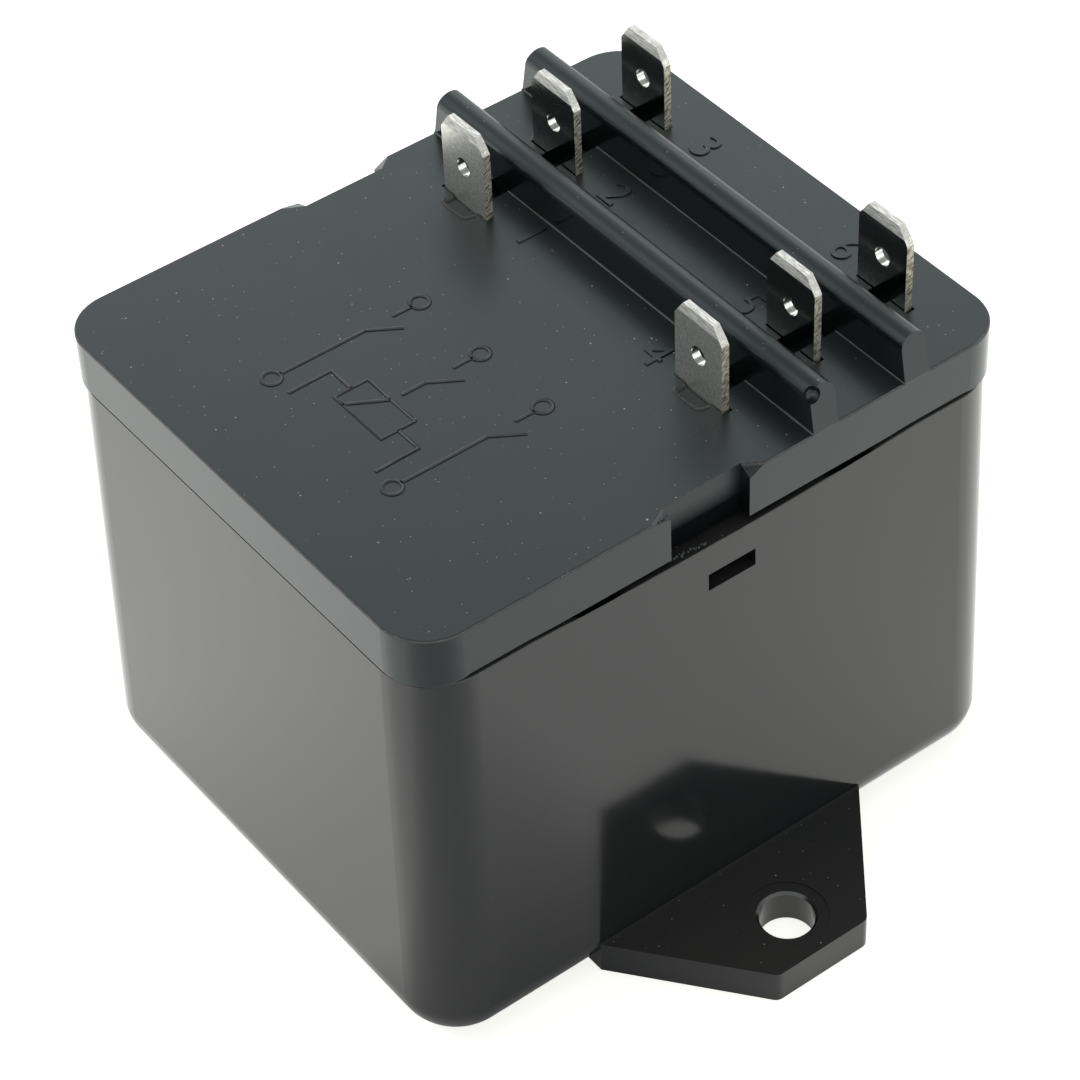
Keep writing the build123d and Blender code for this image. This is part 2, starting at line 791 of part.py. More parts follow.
# Coil winding between the flanges
winding_low = flange_low + bobbin_flange_thick
winding_high = frame_under - bobbin_flange_thick
with BuildPart() as coil_winding:
    with BuildSketch(Plane.XY.offset(winding_low)):
        with Locations((core_x, relay_y)):
            Circle(winding_radius)
            Circle(core_radius + bobbin_fit + bobbin_hub, mode=Mode.SUBTRACT)
    extrude(amount=winding_high - winding_low)
coil_winding.part.label = "coil_winding"
export_step(coil_winding.part, "parts/coil_winding.step")

# Two coil pins from the bobbin's ledge through the board
with BuildPart() as coil_pins:
    with BuildSketch(Plane.XY.offset(base_under - ledge_depth)):
        with Locations(*coil_pins_at):
            Circle(coil_pin_radius)
    extrude(amount=pin_top - base_under + ledge_depth)
coil_pins.part.label = "coil_pins"
export_step(coil_pins.part, "parts/coil_pins.step")

# Common pin, seated on the frame
with BuildPart() as common_terminal:
    with BuildSketch(Plane.XY.offset(base_under)):
        with Locations(common_pin):
            Rectangle(arm_thick, pin_width)
    extrude(amount=pin_top - base_under)
common_terminal.part.label = "common_pin"
export_step(common_terminal.part, "parts/common_pin.step")

# The armature is drawn in its own tilted frame: X away from the hinge, Z towards the pole
tilt = radians(open_angle)
armature_plane = Plane(
    origin=(frame_left, relay_y, hinge_z),
    x_dir=(cos(tilt), 0, -sin(tilt)),
    z_dir=(sin(tilt), 0, cos(tilt)),
)
with BuildPart() as armature:
    with BuildSketch(armature_plane):
        with Locations((-armature_heel, 0)):
            Rectangle(armature_reach + armature_heel, frame_width, align=(Align.MIN, Align.CENTER))
        Rectangle(tail_reach, tail_width, align=(Align.MAX, Align.CENTER))
        for side in (-1, 1):
            with Locations((-lug_clearance, side * lug_spread / 2)):
                Rectangle(
                    frame_thick + 2 * lug_clearance,
                    lug_width + 2 * lug_clearance,
                    align=(Align.MIN, Align.CENTER),
                    mode=Mode.SUBTRACT,
                )
        with Locations((-spring_from_frame + spring_radius, 0)):
            Circle(spring_hole_radius, mode=Mode.SUBTRACT)
    extrude(amount=-armature_thick)
    # Rivets that hold the blade
    with BuildSketch(armature_plane.offset(-armature_thick)):
        for side in (-1, 1):
            with Locations((blade_rivet_at, side * blade_rivet_spread / 2)):
                Circle(blade_rivet_radius)
    extrude(amount=-blade_thick)
    with BuildSketch(armature_plane.offset(-armature_thick - blade_thick)):
        for side in (-1, 1):
            with Locations((blade_rivet_at, side * blade_rivet_spread / 2)):
                Circle(blade_rivet_head)
    extrude(amount=-blade_rivet_height)
armature.part.label = "armature"
export_step(armature.part, "parts/armature.step")

# Moving blade under the armature
blade_plane = armature_plane.offset(-armature_thick)
with BuildPart() as moving_blade:
    with BuildSketch(blade_plane):
        with Locations(((blade_start + blade_end) / 2, 0)):
            RectangleRounded(blade_end - blade_start, blade_width, blade_corner)
        for side in (-1, 1):
            with Locations((blade_rivet_at, side * blade_rivet_spread / 2)):
                Circle(blade_rivet_radius, mode=Mode.SUBTRACT)
        with Locations((contact_at, 0)):
            Circle(contact_shank, mode=Mode.SUBTRACT)
    extrude(amount=-blade_thick)
moving_blade.part.label = "moving_blade"
export_step(moving_blade.part, "parts/moving_blade.step")

# Moving contact: a rivet with a head on each side of the blade
with BuildPart() as moving_contact:
    with BuildSketch(blade_plane):
        with Locations((contact_at, 0)):
            Circle(contact_radius)
    extrude(amount=contact_height)
    with BuildSketch(blade_plane.offset(-blade_thick)):
        with Locations((contact_at, 0)):
            Circle(contact_radius)
    extrude(amount=-contact_height)
    with BuildSketch(blade_plane):
        with Locations((contact_at, 0)):
            Circle(contact_shank)
    extrude(amount=-blade_thick)
    tilted_up = Axis(armature_plane.origin, armature_plane.z_dir)
    head_faces = moving_contact.faces().filter_by(armature_plane).sort_by(tilted_up)
    fillet(head_faces[0].edges() + head_faces[-1].edges(), contact_round)
moving_contact.part.label = "moving_contact"
export_step(moving_contact.part, "parts/moving_contact.step")

# Fixed contacts: the make arm above the blade, the break arm below it
open_drop = contact_at * sin(tilt)
contact_x = frame_left + contact_at * cos(tilt)
lower_head = (armature_thick + blade_thick + contact_height) * cos(tilt)
upper_head = armature_thick - contact_height
break_face = hinge_z - open_drop - lower_head - contact_radius * sin(tilt) - contact_gap
make_face_z = hinge_z - upper_head + contact_gap
arm_start = contact_x - arm_overhang

with BuildPart() as make_arm:
    make_arm_under = make_face_z + contact_height
    with BuildSketch(Plane.XZ.offset(-relay_y)):
        with BuildLine():
            outer = make_pin[0] + arm_thick / 2
            inner = make_pin[0] - arm_thick / 2
            Polyline(
                (arm_start, make_arm_under),
                (outer, make_arm_under),
                (outer, board_under),
                (inner, board_under),
                (inner, make_arm_under + arm_thick),
                (arm_start, make_arm_under + arm_thick),
                close=True,
            )
        make_face()
    extrude(amount=arm_width / 2, both=True)
    with BuildSketch(under_board()):
        with Locations(make_pin):
            Rectangle(arm_thick, pin_width)
    extrude(amount=pin_top - board_under)
    with BuildSketch(Plane.XY.offset(make_arm_under)):
        with Locations((contact_x, relay_y)):
            Circle(contact_shank)
    extrude(amount=arm_thick, mode=Mode.SUBTRACT)
make_arm.part.label = "make_contact_arm"
export_step(make_arm.part, "parts/make_contact_arm.step")

with BuildPart() as break_arm:
    break_arm_top = break_face - contact_height
    with BuildSketch(Plane.XZ.offset(-relay_y)):
        with BuildLine():
            outer = break_pin[0] + arm_thick / 2
            inner = break_pin[0] - arm_thick / 2
            Polyline(
                (arm_start, break_arm_top),
                (inner, break_arm_top),
                (inner, board_under),
                (outer, board_under),
                (outer, break_arm_top - arm_thick),
                (arm_start, break_arm_top - arm_thick),
                close=True,
            )
        make_face()
    extrude(amount=arm_width / 2, both=True)
    with BuildSketch(under_board()):
        with Locations(break_pin):
            Rectangle(arm_thick, pin_width)
    extrude(amount=pin_top - board_under)
    with BuildSketch(Plane.XY.offset(break_arm_top)):
        with Locations((contact_x, relay_y)):
            Circle(contact_shank)
    extrude(amount=-arm_thick, mode=Mode.SUBTRACT)
break_arm.part.label = "break_contact_arm"
export_step(break_arm.part, "parts/break_contact_arm.step")

with BuildPart() as make_contact:
    with BuildSketch(Plane.XY.offset(make_face_z)):
        with Locations((contact_x, relay_y)):
            Circle(contact_radius)
    extrude(amount=contact_height)
    fillet(make_contact.faces().sort_by(Axis.Z)[0].edges(), contact_round)
    with BuildSketch(Plane.XY.offset(make_arm_under)):
        with Locations((contact_x, relay_y)):
            Circle(contact_shank)
    extrude(amount=arm_thick)
make_contact.part.label = "make_contact"
export_step(make_contact.part, "parts/make_contact.step")

with BuildPart() as break_contact:
    with BuildSketch(Plane.XY.offset(break_face)):
        with Locations((contact_x, relay_y)):
            Circle(contact_radius)
    extrude(amount=-contact_height)
    fillet(break_contact.faces().sort_by(Axis.Z)[-1].edges(), contact_round)
    with BuildSketch(Plane.XY.offset(break_arm_top)):
        with Locations((contact_x, relay_y)):
            Circle(contact_shank)
    extrude(amount=-arm_thick)
break_contact.part.label = "break_contact"
export_step(break_contact.part, "parts/break_contact.step")

# Return spring: an open coil with a half-ring hook at each end
with BuildPart() as return_spring:
    spring_top_end = (spring_x + spring_radius, relay_y, coil_end)
    with BuildLine() as coil_line:
        coil_foot = (spring_x, relay_y, coil_start)
        Helix(spring_pitch, coil_end - coil_start, spring_radius, center=coil_foot)
    with BuildSketch(Plane(origin=coil_line.line @ 0, z_dir=coil_line.line % 0)):
        Circle(spring_wire)
    sweep()
    for leg_low in (lower_ring_z, coil_end):
        with BuildSketch(Plane.XY.offset(leg_low)):
            with Locations((spring_x + spring_radius, relay_y)):
                Circle(spring_wire)
        extrude(amount=spring_leg)
    with Locations((spring_x + spring_radius, relay_y, coil_start), spring_top_end):
        Sphere(spring_wire)
    for ring_z, turn in ((lower_ring_z, 180), (upper_ring_z, -180)):
        with BuildSketch(Plane.XY.offset(ring_z)):
            with Locations((spring_x + spring_radius, relay_y)):
                Circle(spring_wire)
        ring_axis = Axis((spring_x, relay_y, ring_z), (0, 1, 0))
        revolve(axis=ring_axis, revolution_arc=turn)
return_spring.part.label = "return_spring"
export_step(return_spring.part, "parts/return_spring.step")


# Film capacitors: moulded boxes standing on the board
for number, place in enumerate(film_places, start=1):
    with BuildPart() as film_capacitor:
        with BuildSketch(under_board()):
            with Locations(place):
                Rectangle(film_size[0], film_size[1])
        extrude(amount=-film_size[2])
        far_face = film_capacitor.faces().sort_by(Axis.Z)[0]
        fillet(far_face.edges() + film_capacitor.edges().filter_by(Axis.Z), film_corner)
        with BuildSketch(under_board()):
            with Locations(*lead_holes(place, film_lead_pitch, along_y=True)):
                Circle(lead_radius)
        extrude(amount=board_thick + pin_stick_out)
    film_capacitor.part.label = f"film_capacitor_{number}"
    export_step(film_capacitor.part, f"parts/film_capacitor_{number}.step")

# Smoothing capacitor: a rolled can with a groove near its seal
with BuildPart() as smoothing_capacitor:
    with BuildSketch(Plane.XZ.offset(-can_place[1])):
        with BuildLine():
            axis_x = can_place[0]
            rim = axis_x + can_radius
            groove_z = board_under - can_groove_rise
            Line((axis_x, board_under), (rim, board_under))
            Line((rim, board_under), (rim, groove_z + can_round))
            ThreePointArc(
                (rim, groove_z + can_round),
                (rim - can_groove_depth, groove_z),
                (rim, groove_z - can_round),
            )
            Line((rim, groove_z - can_round), (rim, board_under - can_height + can_round))
            RadiusArc(
                (rim, board_under - can_height + can_round),
                (rim - can_round, board_under - can_height),
                can_round,
            )
            Line((rim - can_round, board_under - can_height), (axis_x, board_under - can_height))
            Line((axis_x, board_under - can_height), (axis_x, board_under))
        make_face()
    revolve(axis=Axis((can_place[0], can_place[1], 0), (0, 0, 1)))
    with BuildSketch(under_board()):
        with Locations(*lead_holes(can_place, can_lead_pitch)):
            Circle(lead_radius)
    extrude(amount=board_thick + pin_stick_out)
smoothing_capacitor.part.label = "smoothing_capacitor"
export_step(smoothing_capacitor.part, "parts/smoothing_capacitor.step")

# Bridge rectifier: a flat moulded block on four leads
with BuildPart() as bridge_rectifier:
    with BuildSketch(under_board()):
        with Locations(bridge_place):
            Rectangle(bridge_size[0], bridge_size[1])
    extrude(amount=-bridge_size[2])
    fillet(bridge_rectifier.faces().sort_by(Axis.Z)[0].edges(), bridge_corner)
    with BuildSketch(under_board()):
        with Locations(*bridge_leads):
            Circle(lead_radius)
    extrude(amount=board_thick + pin_stick_out)
bridge_rectifier.part.label = "bridge_rectifier"
export_step(bridge_rectifier.part, "parts/bridge_rectifier.step")

# Dropper resistors: capped bodies carried clear of the board on bent leads
for number, place in enumerate(resistor_places, start=1):
    axis_z = board_under - resistor_drop - resistor_radius
    with BuildPart() as dropper_resistor:
        with BuildSketch(Plane.XZ.offset(-place[1])):
            with BuildLine():
                left = place[0] - resistor_length / 2
                right = place[0] + resistor_length / 2
                waist = axis_z + resistor_radius - resistor_waist
                Polyline(
                    (left, axis_z),
                    (left, axis_z + resistor_radius),
                    (left + resistor_cap, axis_z + resistor_radius),
                    (left + resistor_cap + resistor_waist, waist),
                    (right - resistor_cap - resistor_waist, waist),
                    (right - resistor_cap, axis_z + resistor_radius),
                    (right, axis_z + resistor_radius),
                    (right, axis_z),
                    close=True,
                )
            make_face()
        revolve(axis=Axis((place[0], place[1], axis_z), (1, 0, 0)))
        with BuildSketch(Plane.YZ.offset(place[0])):
            with Locations((place[1], axis_z)):
                Circle(lead_radius)
        extrude(amount=resistor_lead_pitch / 2, both=True)
        with BuildSketch(Plane.XY.offset(axis_z)):
            with Locations(*lead_holes(place, resistor_lead_pitch)):
                Circle(lead_radius)
        extrude(amount=pin_top - axis_z)
        for lead_x, lead_y in lead_holes(place, resistor_lead_pitch):
            with Locations((lead_x, lead_y, axis_z)):
                Sphere(lead_radius)
    dropper_resistor.part.label = f"dropper_resistor_{number}"
    export_step(dropper_resistor.part, f"parts/dropper_resistor_{number}.step")

# Surge discs beside the supply tabs
for number, place in enumerate(disc_places, start=1):
    disc_z = board_under - disc_drop - disc_radius
    with BuildPart() as surge_disc:
        with BuildSketch(Plane.XZ.offset(-place[1])):
            with Locations((place[0], disc_z)):
                Circle(disc_radius)
        extrude(amount=disc_thick / 2, both=True)
        fillet(surge_disc.edges().filter_by(GeomType.CIRCLE), disc_round)
        with BuildSketch(Plane.XY.offset(disc_z)):
            with Locations(*lead_holes(place, disc_lead_pitch)):
                Circle(lead_radius)
        extrude(amount=pin_top - disc_z)
    surge_disc.part.label = f"surge_disc_{number}"
    export_step(surge_disc.part, f"parts/surge_disc_{number}.step")

# Coil driver: a half-round body on three thin leads
with BuildPart() as coil_driver:
    with BuildSketch(under_board(driver_drop)):
        with Locations(driver_place):
            Circle(driver_radius)
        with Locations((driver_place[0] + driver_flat, driver_place[1])):
            Rectangle(
                driver_radius, 2 * driver_radius, align=(Align.MIN, Align.CENTER), mode=Mode.SUBTRACT
            )
    extrude(amount=-driver_height)
    with BuildSketch(under_board(driver_drop)):
        with Locations(*driver_leads):
            Circle(driver_lead_radius)
    extrude(amount=driver_drop + board_thick + pin_stick_out)
coil_driver.part.label = "coil_driver"
export_step(coil_driver.part, "parts/coil_driver.step")

# Signal resistors: three small bodies in a row, one node
with BuildPart() as signal_resistors:
    small_axis_z = board_under - small_resistor_drop - small_resistor_radius
    for place in small_resistor_rows:
        with BuildSketch(Plane.YZ.offset(place[0])):
            with Locations((place[1], small_axis_z)):
                Circle(small_resistor_radius)
        extrude(amount=small_resistor_length / 2, both=True)
        with BuildSketch(Plane.YZ.offset(place[0])):
            with Locations((place[1], small_axis_z)):
                Circle(driver_lead_radius)
        extrude(amount=small_lead_pitch / 2, both=True)
        with BuildSketch(Plane.XY.offset(small_axis_z)):
            with Locations(*lead_holes(place, small_lead_pitch)):
                Circle(driver_lead_radius)
        extrude(amount=pin_top - small_axis_z)
        for lead_x, lead_y in lead_holes(place, small_lead_pitch):
            with Locations((lead_x, lead_y, small_axis_z)):
                Sphere(driver_lead_radius)
signal_resistors.part.label = "signal_resistors"
export_step(signal_resistors.part, "parts/signal_resistors.step")
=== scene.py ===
"""Looks of an enclosed power relay: a moulded black box with a clipped lid and six tinned tabs.

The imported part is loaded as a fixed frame. Each sub-assembly below dresses its own nodes and adds
the detail that is too fine for the solids. Sizes in the classes are millimetres, in the part's
frame, and angles are degrees.
"""

import logging
import math
from dataclasses import dataclass
from enum import Enum
from functools import cache
from typing import Any, ClassVar, Sequence

import bmesh
import bpy
from mathutils import Matrix, Vector


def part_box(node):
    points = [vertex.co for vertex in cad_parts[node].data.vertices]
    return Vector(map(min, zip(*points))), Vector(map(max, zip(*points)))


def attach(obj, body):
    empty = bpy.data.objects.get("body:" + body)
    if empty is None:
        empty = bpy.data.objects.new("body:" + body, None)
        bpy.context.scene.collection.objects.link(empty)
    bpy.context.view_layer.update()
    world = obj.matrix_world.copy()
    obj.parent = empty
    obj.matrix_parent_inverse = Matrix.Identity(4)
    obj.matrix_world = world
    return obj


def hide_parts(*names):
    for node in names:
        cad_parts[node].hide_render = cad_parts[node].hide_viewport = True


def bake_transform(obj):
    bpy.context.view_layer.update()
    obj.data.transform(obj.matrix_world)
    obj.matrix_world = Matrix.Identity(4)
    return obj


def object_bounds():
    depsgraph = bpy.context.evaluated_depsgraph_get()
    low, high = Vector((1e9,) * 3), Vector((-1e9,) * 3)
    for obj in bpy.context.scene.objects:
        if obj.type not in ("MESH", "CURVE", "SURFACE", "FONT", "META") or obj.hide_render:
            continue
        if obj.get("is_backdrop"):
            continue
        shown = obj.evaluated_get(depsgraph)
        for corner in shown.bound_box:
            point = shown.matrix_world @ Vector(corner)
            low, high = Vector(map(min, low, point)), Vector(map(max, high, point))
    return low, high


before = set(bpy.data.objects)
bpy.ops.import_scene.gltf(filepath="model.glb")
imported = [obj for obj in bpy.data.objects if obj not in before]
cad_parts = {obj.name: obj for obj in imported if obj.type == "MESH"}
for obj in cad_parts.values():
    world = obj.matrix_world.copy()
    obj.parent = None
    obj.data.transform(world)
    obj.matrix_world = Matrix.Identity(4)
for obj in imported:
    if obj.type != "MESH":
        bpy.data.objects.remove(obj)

MM = 0.001
LOG = logging.getLogger("relay")
DUST = "#cfcbbd"
RUST = "#b36a3c"
# Near black painted shade for the seam under the lid's overhang.
SEAM_SHADE = "#08090a"
Point = tuple[float, float, float]
Flat = tuple[float, float]
Output = bpy.types.Node | bpy.types.NodeSocket
Value = Output | float
Colour = Output | str


class Body(Enum):
    """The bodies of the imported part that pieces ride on."""

    UNIT = "unit"
    ARMATURE = "armature"


class Slot(Enum):
    """The record's material slots."""

    CASE = "case_plastic"
    LID = "lid_plastic"
    TAB = "tinned_tab"
    BOARD = "board_laminate"
    ZINC = "zinc_steel"
    IRON = "soft_iron"
    RELAY = "relay_plastic"
    BOBBIN = "bobbin_plastic"
    WIRE = "coil_wire"
    LEAD = "tinned_lead"
    COPPER = "contact_copper"
    SILVER = "contact_silver"
    SPRING = "spring_steel"
    FILM_BOX = "capacitor_box"
    SLEEVE = "capacitor_sleeve"
    EPOXY = "component_black"
    RESISTOR = "resistor_coat"
    DISC = "disc_coat"
    SMALL_RESISTOR = "small_resistor_coat"


class Socket(Enum):
    """The kinds of input that a geometry tree takes."""

    LENGTH = "NodeSocketFloat"
    COUNT = "NodeSocketInt"
    PLACE = "NodeSocketVector"


def linear(hex_colour: str) -> tuple[float, float, float, float]:
    """Turns an sRGB hex colour to linear red, green, blue and alpha.

    Args:
        hex_colour: Such as "#1a1b1c".

    Returns:
        Four numbers, alpha being 1.
    """
    parts = [int(hex_colour[i:i + 2], 16) / 255 for i in (1, 3, 5)]
    red, green, blue = (
        p / 12.92 if p <= 0.04045 else ((p + 0.055) / 1.055) ** 2.4 for p in parts
    )
    return red, green, blue, 1.0


def per_metre(size_mm: float) -> float:
    """Texture scale, in cycles per metre, of a pattern whose cells are size_mm across."""
    return 1 / (size_mm * MM)


def linked(name: str, data: Any) -> bpy.types.Object:
    """Makes an object and links it to the scene.

    Args:
        name: The object's name.
        data: Its mesh, curve, light or camera.

    Returns:
        The object, at the origin.
    """
    made = bpy.data.objects.new(name, data)
    bpy.context.scene.collection.objects.link(made)
    return made


def plain(source: bpy.types.Object) -> bpy.types.Mesh:
    """Gives what an object's modifiers or its text make, as a plain mesh."""
    seen = source.evaluated_get(bpy.context.evaluated_depsgraph_get())
    return bpy.data.meshes.new_from_object(seen)


class Tree:
    """A shader or geometry tree that is being filled in."""

    def __init__(self, tree: bpy.types.NodeTree) -> None:
        """Takes a tree over and empties it."""
        tree.nodes.clear()
        self.tree = tree

    def feed(self, node: bpy.types.Node, inputs: dict[Any, Any]) -> None:
        """Feeds inputs of a node.

        Args:
            node: A node of this tree.
            inputs: By the input's name or index: an output to link or a node whose first output
                is linked, a hex colour, or a value.
        """
        for key, value in inputs.items():
            if isinstance(value, bpy.types.Node):
                value = value.outputs[0]
            if isinstance(value, bpy.types.NodeSocket):
                self.tree.links.new(value, node.inputs[key])
            else:
                node.inputs[key].default_value = linear(value) if isinstance(value, str) else value

    def add(
        self, kind: str, inputs: dict[Any, Any] | None = None, **properties: Any
    ) -> bpy.types.Node:
        """Adds one node with its settings and links.

        Args:
            kind: The node's type name.
            inputs: What feeds its inputs; see feed.
            properties: The node's own properties.

        Returns:
            The new node.
        """
        node = self.tree.nodes.new(kind)
        for name, value in properties.items():
            setattr(node, name, value)
        self.feed(node, inputs or {})
        return node

    def product(self, first: Value, *others: Value) -> Value:
        """Multiplies numbers.

        Args:
            first: A number.
            others: The numbers to multiply it by.

        Returns:
            The product.
        """
        for other in others:
            first = self.add("ShaderNodeMath", {0: first, 1: other}, operation="MULTIPLY")
        return first

    def away(self, value: Output, middle: float = 0.0) -> Output:
        """How far a number lies from a middle."""
        off = self.add("ShaderNodeMath", {0: value, 1: middle}, operation="SUBTRACT")
        return self.add("ShaderNodeMath", {0: off}, operation="ABSOLUTE")

    def step(self, value: Output, low: float, high: float) -> Output:
        """Goes from 0 to 1 as the value goes from low to high."""
        return self.add("ShaderNodeMapRange", {"Value": value, "From Min": low, "From Max": high})

    def ramp(self, value: Output, start: float, width: float) -> Output:
        """Goes from 0 to 1 over a width from a start, in mm; a width below 0 goes downwards."""
        return self.step(value, start * MM, (start + width) * MM)

    def blend(self, factor: Value, first: Value, second: Value) -> Output:
        """Mixes two numbers."""
        return self.add("ShaderNodeMix", {0: factor, 2: first, 3: second}, data_type="FLOAT")

    def mixed(self, factor: Value, first: Colour, second: Colour) -> Output:
        """Mixes two colours."""
        inputs = {0: factor, 6: first, 7: second}
        return self.add("ShaderNodeMix", inputs, data_type="RGBA").outputs[2]

    def towards(self, vector: Output, azimuth: float) -> Output:
        """How far a vector points along a level direction.

        Args:
            vector: The vector.
            azimuth: The direction, in degrees from X to Y.

        Returns:
            The length of its part that way.
        """
        turn = math.radians(azimuth)
        inputs = {0: vector, 1: (math.cos(turn), math.sin(turn), 0.0)}
        return self.add("ShaderNodeVectorMath", inputs, operation="DOT_PRODUCT").outputs["Value"]

    def rays(self) -> tuple[Output, Output]:
        """Tells rays apart.

        Returns:
            1 for the camera's own rays, and 1 for rays that were mirrored or refracted.
        """
        path = self.add("ShaderNodeLightPath").outputs
        bent = {0: path["Is Glossy Ray"], 1: path["Is Transmission Ray"]}
        return path["Is Camera Ray"], self.add("ShaderNodeMath", bent, operation="MAXIMUM")


class Paint(Tree):
    """A material's tree: its shader, and where and which way a point faces, in metres."""

    def __init__(self, name: str) -> None:
        """Starts the material.

        Args:
            name: The material's name.
        """
        self.material = bpy.data.materials.new(name)
        self.material.use_nodes = True
        super().__init__(self.material.node_tree)
        coordinates = self.add("ShaderNodeTexCoord").outputs
        self.spot = coordinates["Object"]
        self.place, self.facing = (
            self.add("ShaderNodeSeparateXYZ", {0: coordinates[name]}).outputs
            for name in ("Object", "Normal")
        )
        self.shader = self.add("ShaderNodeBsdfPrincipled")
        self.add("ShaderNodeOutputMaterial", {"Surface": self.shader})

    def relief(self, *heights: tuple[Output, float]) -> Output:
        """Adds up patterns into one bump.

        Args:
            heights: Each pattern with its depth in mm.

        Returns:
            The bumped normal.
        """
        total: Value = 0.0
        for pattern, depth in heights:
            inputs = {0: pattern, 1: depth * MM, 2: total}
            total = self.add("ShaderNodeMath", inputs, operation="MULTIPLY_ADD")
        return self.add("ShaderNodeBump", {"Strength": 1.0, "Distance": 1.0, "Height": total})


@dataclass(frozen=True)
class Clouds:
    """Soft patches of noise.

    A patch is size_mm across. The noise values low and high give 0 and 1. Stretch says how many
    times longer the patches are along X, Y and Z, and turn is about X.
    """

    size_mm: float
    low: float = 0.0
    high: float = 1.0
    stretch: Point = (1.0, 1.0, 1.0)
    turn: float = 0.0
    detail: float = 4.0
    roughness: float = 0.6

    def on(self, paint: Paint) -> Output:
        """Adds the patches to a material.

        Args:
            paint: The material's tree.

        Returns:
            Their strength, from 0 to 1.
        """
        place = paint.add(
            "ShaderNodeMapping",
            {
                "Vector": paint.spot,
                "Scale": self.stretch,
                "Rotation": (math.radians(self.turn), 0, 0),
            },
            vector_type="TEXTURE",
        )
        noise = paint.add(
            "ShaderNodeTexNoise",
            {
                "Vector": place,
                "Scale": per_metre(self.size_mm),
                "Detail": self.detail,
                "Roughness": self.roughness,
            },
        )
        return paint.step(noise, self.low, self.high)


@dataclass(frozen=True)
class Finish:
    """A surface finish: each kind fills the material's tree in its own way."""

    name: str
    colour: str

    def material(self) -> bpy.types.Material:
        """Makes the procedural material.

        Returns:
            The material, on Object coordinates in metres.
        """
        paint = Paint(self.name)
        self.fill(paint)
        return paint.material

    def fill(self, paint: Paint) -> None:
        """Fills the tree in.

        Args:
            paint: The material's tree.
        """
        raise NotImplementedError


@dataclass(frozen=True)
class Moulding(Finish):
    """Moulded plastic or a dipped coat: pigment clouds, soft ripple, fine grain, hairlines, dust.

    The grains of dust are given as how far they lie apart with a grain's radius. They lie on
    faces that face up, and grain_core is the share of a grain that is at full strength. Dust is
    the share of the grains that show, and clean_share the share of those that aren't rusty.
    """

    bloom: str
    roughness: float
    dull_roughness: float
    cloud_mm: float = 9.0
    cloud_range: Flat = (0.42, 0.72)
    ripple_mm: float = 6.0
    ripple_depth: float = 0.004
    grain_mm: float = 0.35
    grain_depth: float = 0.002
    scratch_depth: float = 0.0
    scratch_lines: Clouds = Clouds(14.0, 0.498, 0.502, (4.0, 1.7, 1.0))
    scratch_places: Clouds = Clouds(11.0, 0.58, 0.64)
    scratch_middle: float = 0.5
    scratch_half: float = 0.45
    dust: float = 0.0
    dust_grains: tuple[Flat, ...] = ((1.3, 0.055), (2.9, 0.085), (9.0, 0.13))
    grain_core: float = 0.4
    clean_share: float = 0.9
    rusty_soft: float = 0.01
    level: Flat = (0.7, 0.8)
    coat: float = 0.0
    coat_roughness: float = 0.05
    shine: float = 0.5
    ior: float = 1.5
    tint: str = "#ffffff"

    def fill(self, paint: Paint) -> None:
        """Fills the tree in.

        Args:
            paint: The material's tree.
        """
        cloud = Clouds(self.cloud_mm, *self.cloud_range).on(paint)
        heights = [
            (Clouds(self.ripple_mm).on(paint), self.ripple_depth),
            (Clouds(self.grain_mm).on(paint), self.grain_depth),
        ]
        colour = paint.mixed(cloud, self.colour, self.bloom)
        if self.scratch_depth:
            # A hairline is where a drawn-out noise crosses one value.
            lines = self.scratch_lines.on(paint)
            inputs = {0: lines, 1: self.scratch_middle, 2: self.scratch_half}
            crossed = paint.add("ShaderNodeMath", inputs, operation="COMPARE")
            sparse = paint.product(crossed, self.scratch_places.on(paint))
            heights.append((sparse, -self.scratch_depth))
        for apart, radius in self.dust_grains if self.dust else ():
            colour = self.dusted(paint, colour, apart, radius)
        normal = paint.relief(*heights)
        rough = paint.blend(cloud, self.roughness, self.dull_roughness)
        dressed = {
            "Base Color": self.worn(paint, colour),
            "Roughness": self.polished(paint, rough),
            "Specular IOR Level": self.shone(paint),
            "Normal": normal,
            "IOR": self.ior,
            "Specular Tint": self.tint,
        }
        if self.coat:
            dressed |= {
                "Coat Weight": self.coat,
                "Coat Roughness": self.coat_roughness,
                "Coat Normal": normal,
            }
        paint.feed(paint.shader, dressed)

    def worn(self, paint: Paint, colour: Output) -> Output:
        """Changes the colour where a kind of moulding has dust or painted light and shade; a plain
        one isn't.
        """
        return colour

    def polished(self, paint: Paint, rough: Output) -> Output:
        """Changes the roughness where a kind of moulding is polished; a plain one isn't."""
        return rough

    def shone(self, paint: Paint) -> Value:
        """Gives the strength of the sheen, which a kind of moulding may lose in places."""
        return self.shine

    def dusted(self, paint: Paint, under: Output, apart: float, radius: float) -> Output:
        """Strews grains of dust, pale and now and then rusty.

        Args:
            paint: The material's tree.
            under: The colour without dust.
            apart: How far the grains lie apart, in mm.
            radius: How large a grain is, in mm.

        Returns:
            The dusted colour.
        """
        cells = paint.add(
            "ShaderNodeTexVoronoi",
            {"Vector": paint.spot, "Scale": per_metre(apart)},
            voronoi_dimensions="2D",
        ).outputs
        reach = radius / apart
        chance = paint.add("ShaderNodeSeparateColor", {"Color": cells["Color"]}).outputs
        share = paint.product(
            paint.step(cells["Distance"], reach, reach * self.grain_core),
            paint.step(chance[0], 1 - self.dust, 1.0),
            paint.step(paint.facing[2], *self.level),
        )
        rusty = paint.step(chance[1], self.clean_share, self.clean_share + self.rusty_soft)
        return paint.mixed(share, under, paint.mixed(rusty, DUST, RUST))


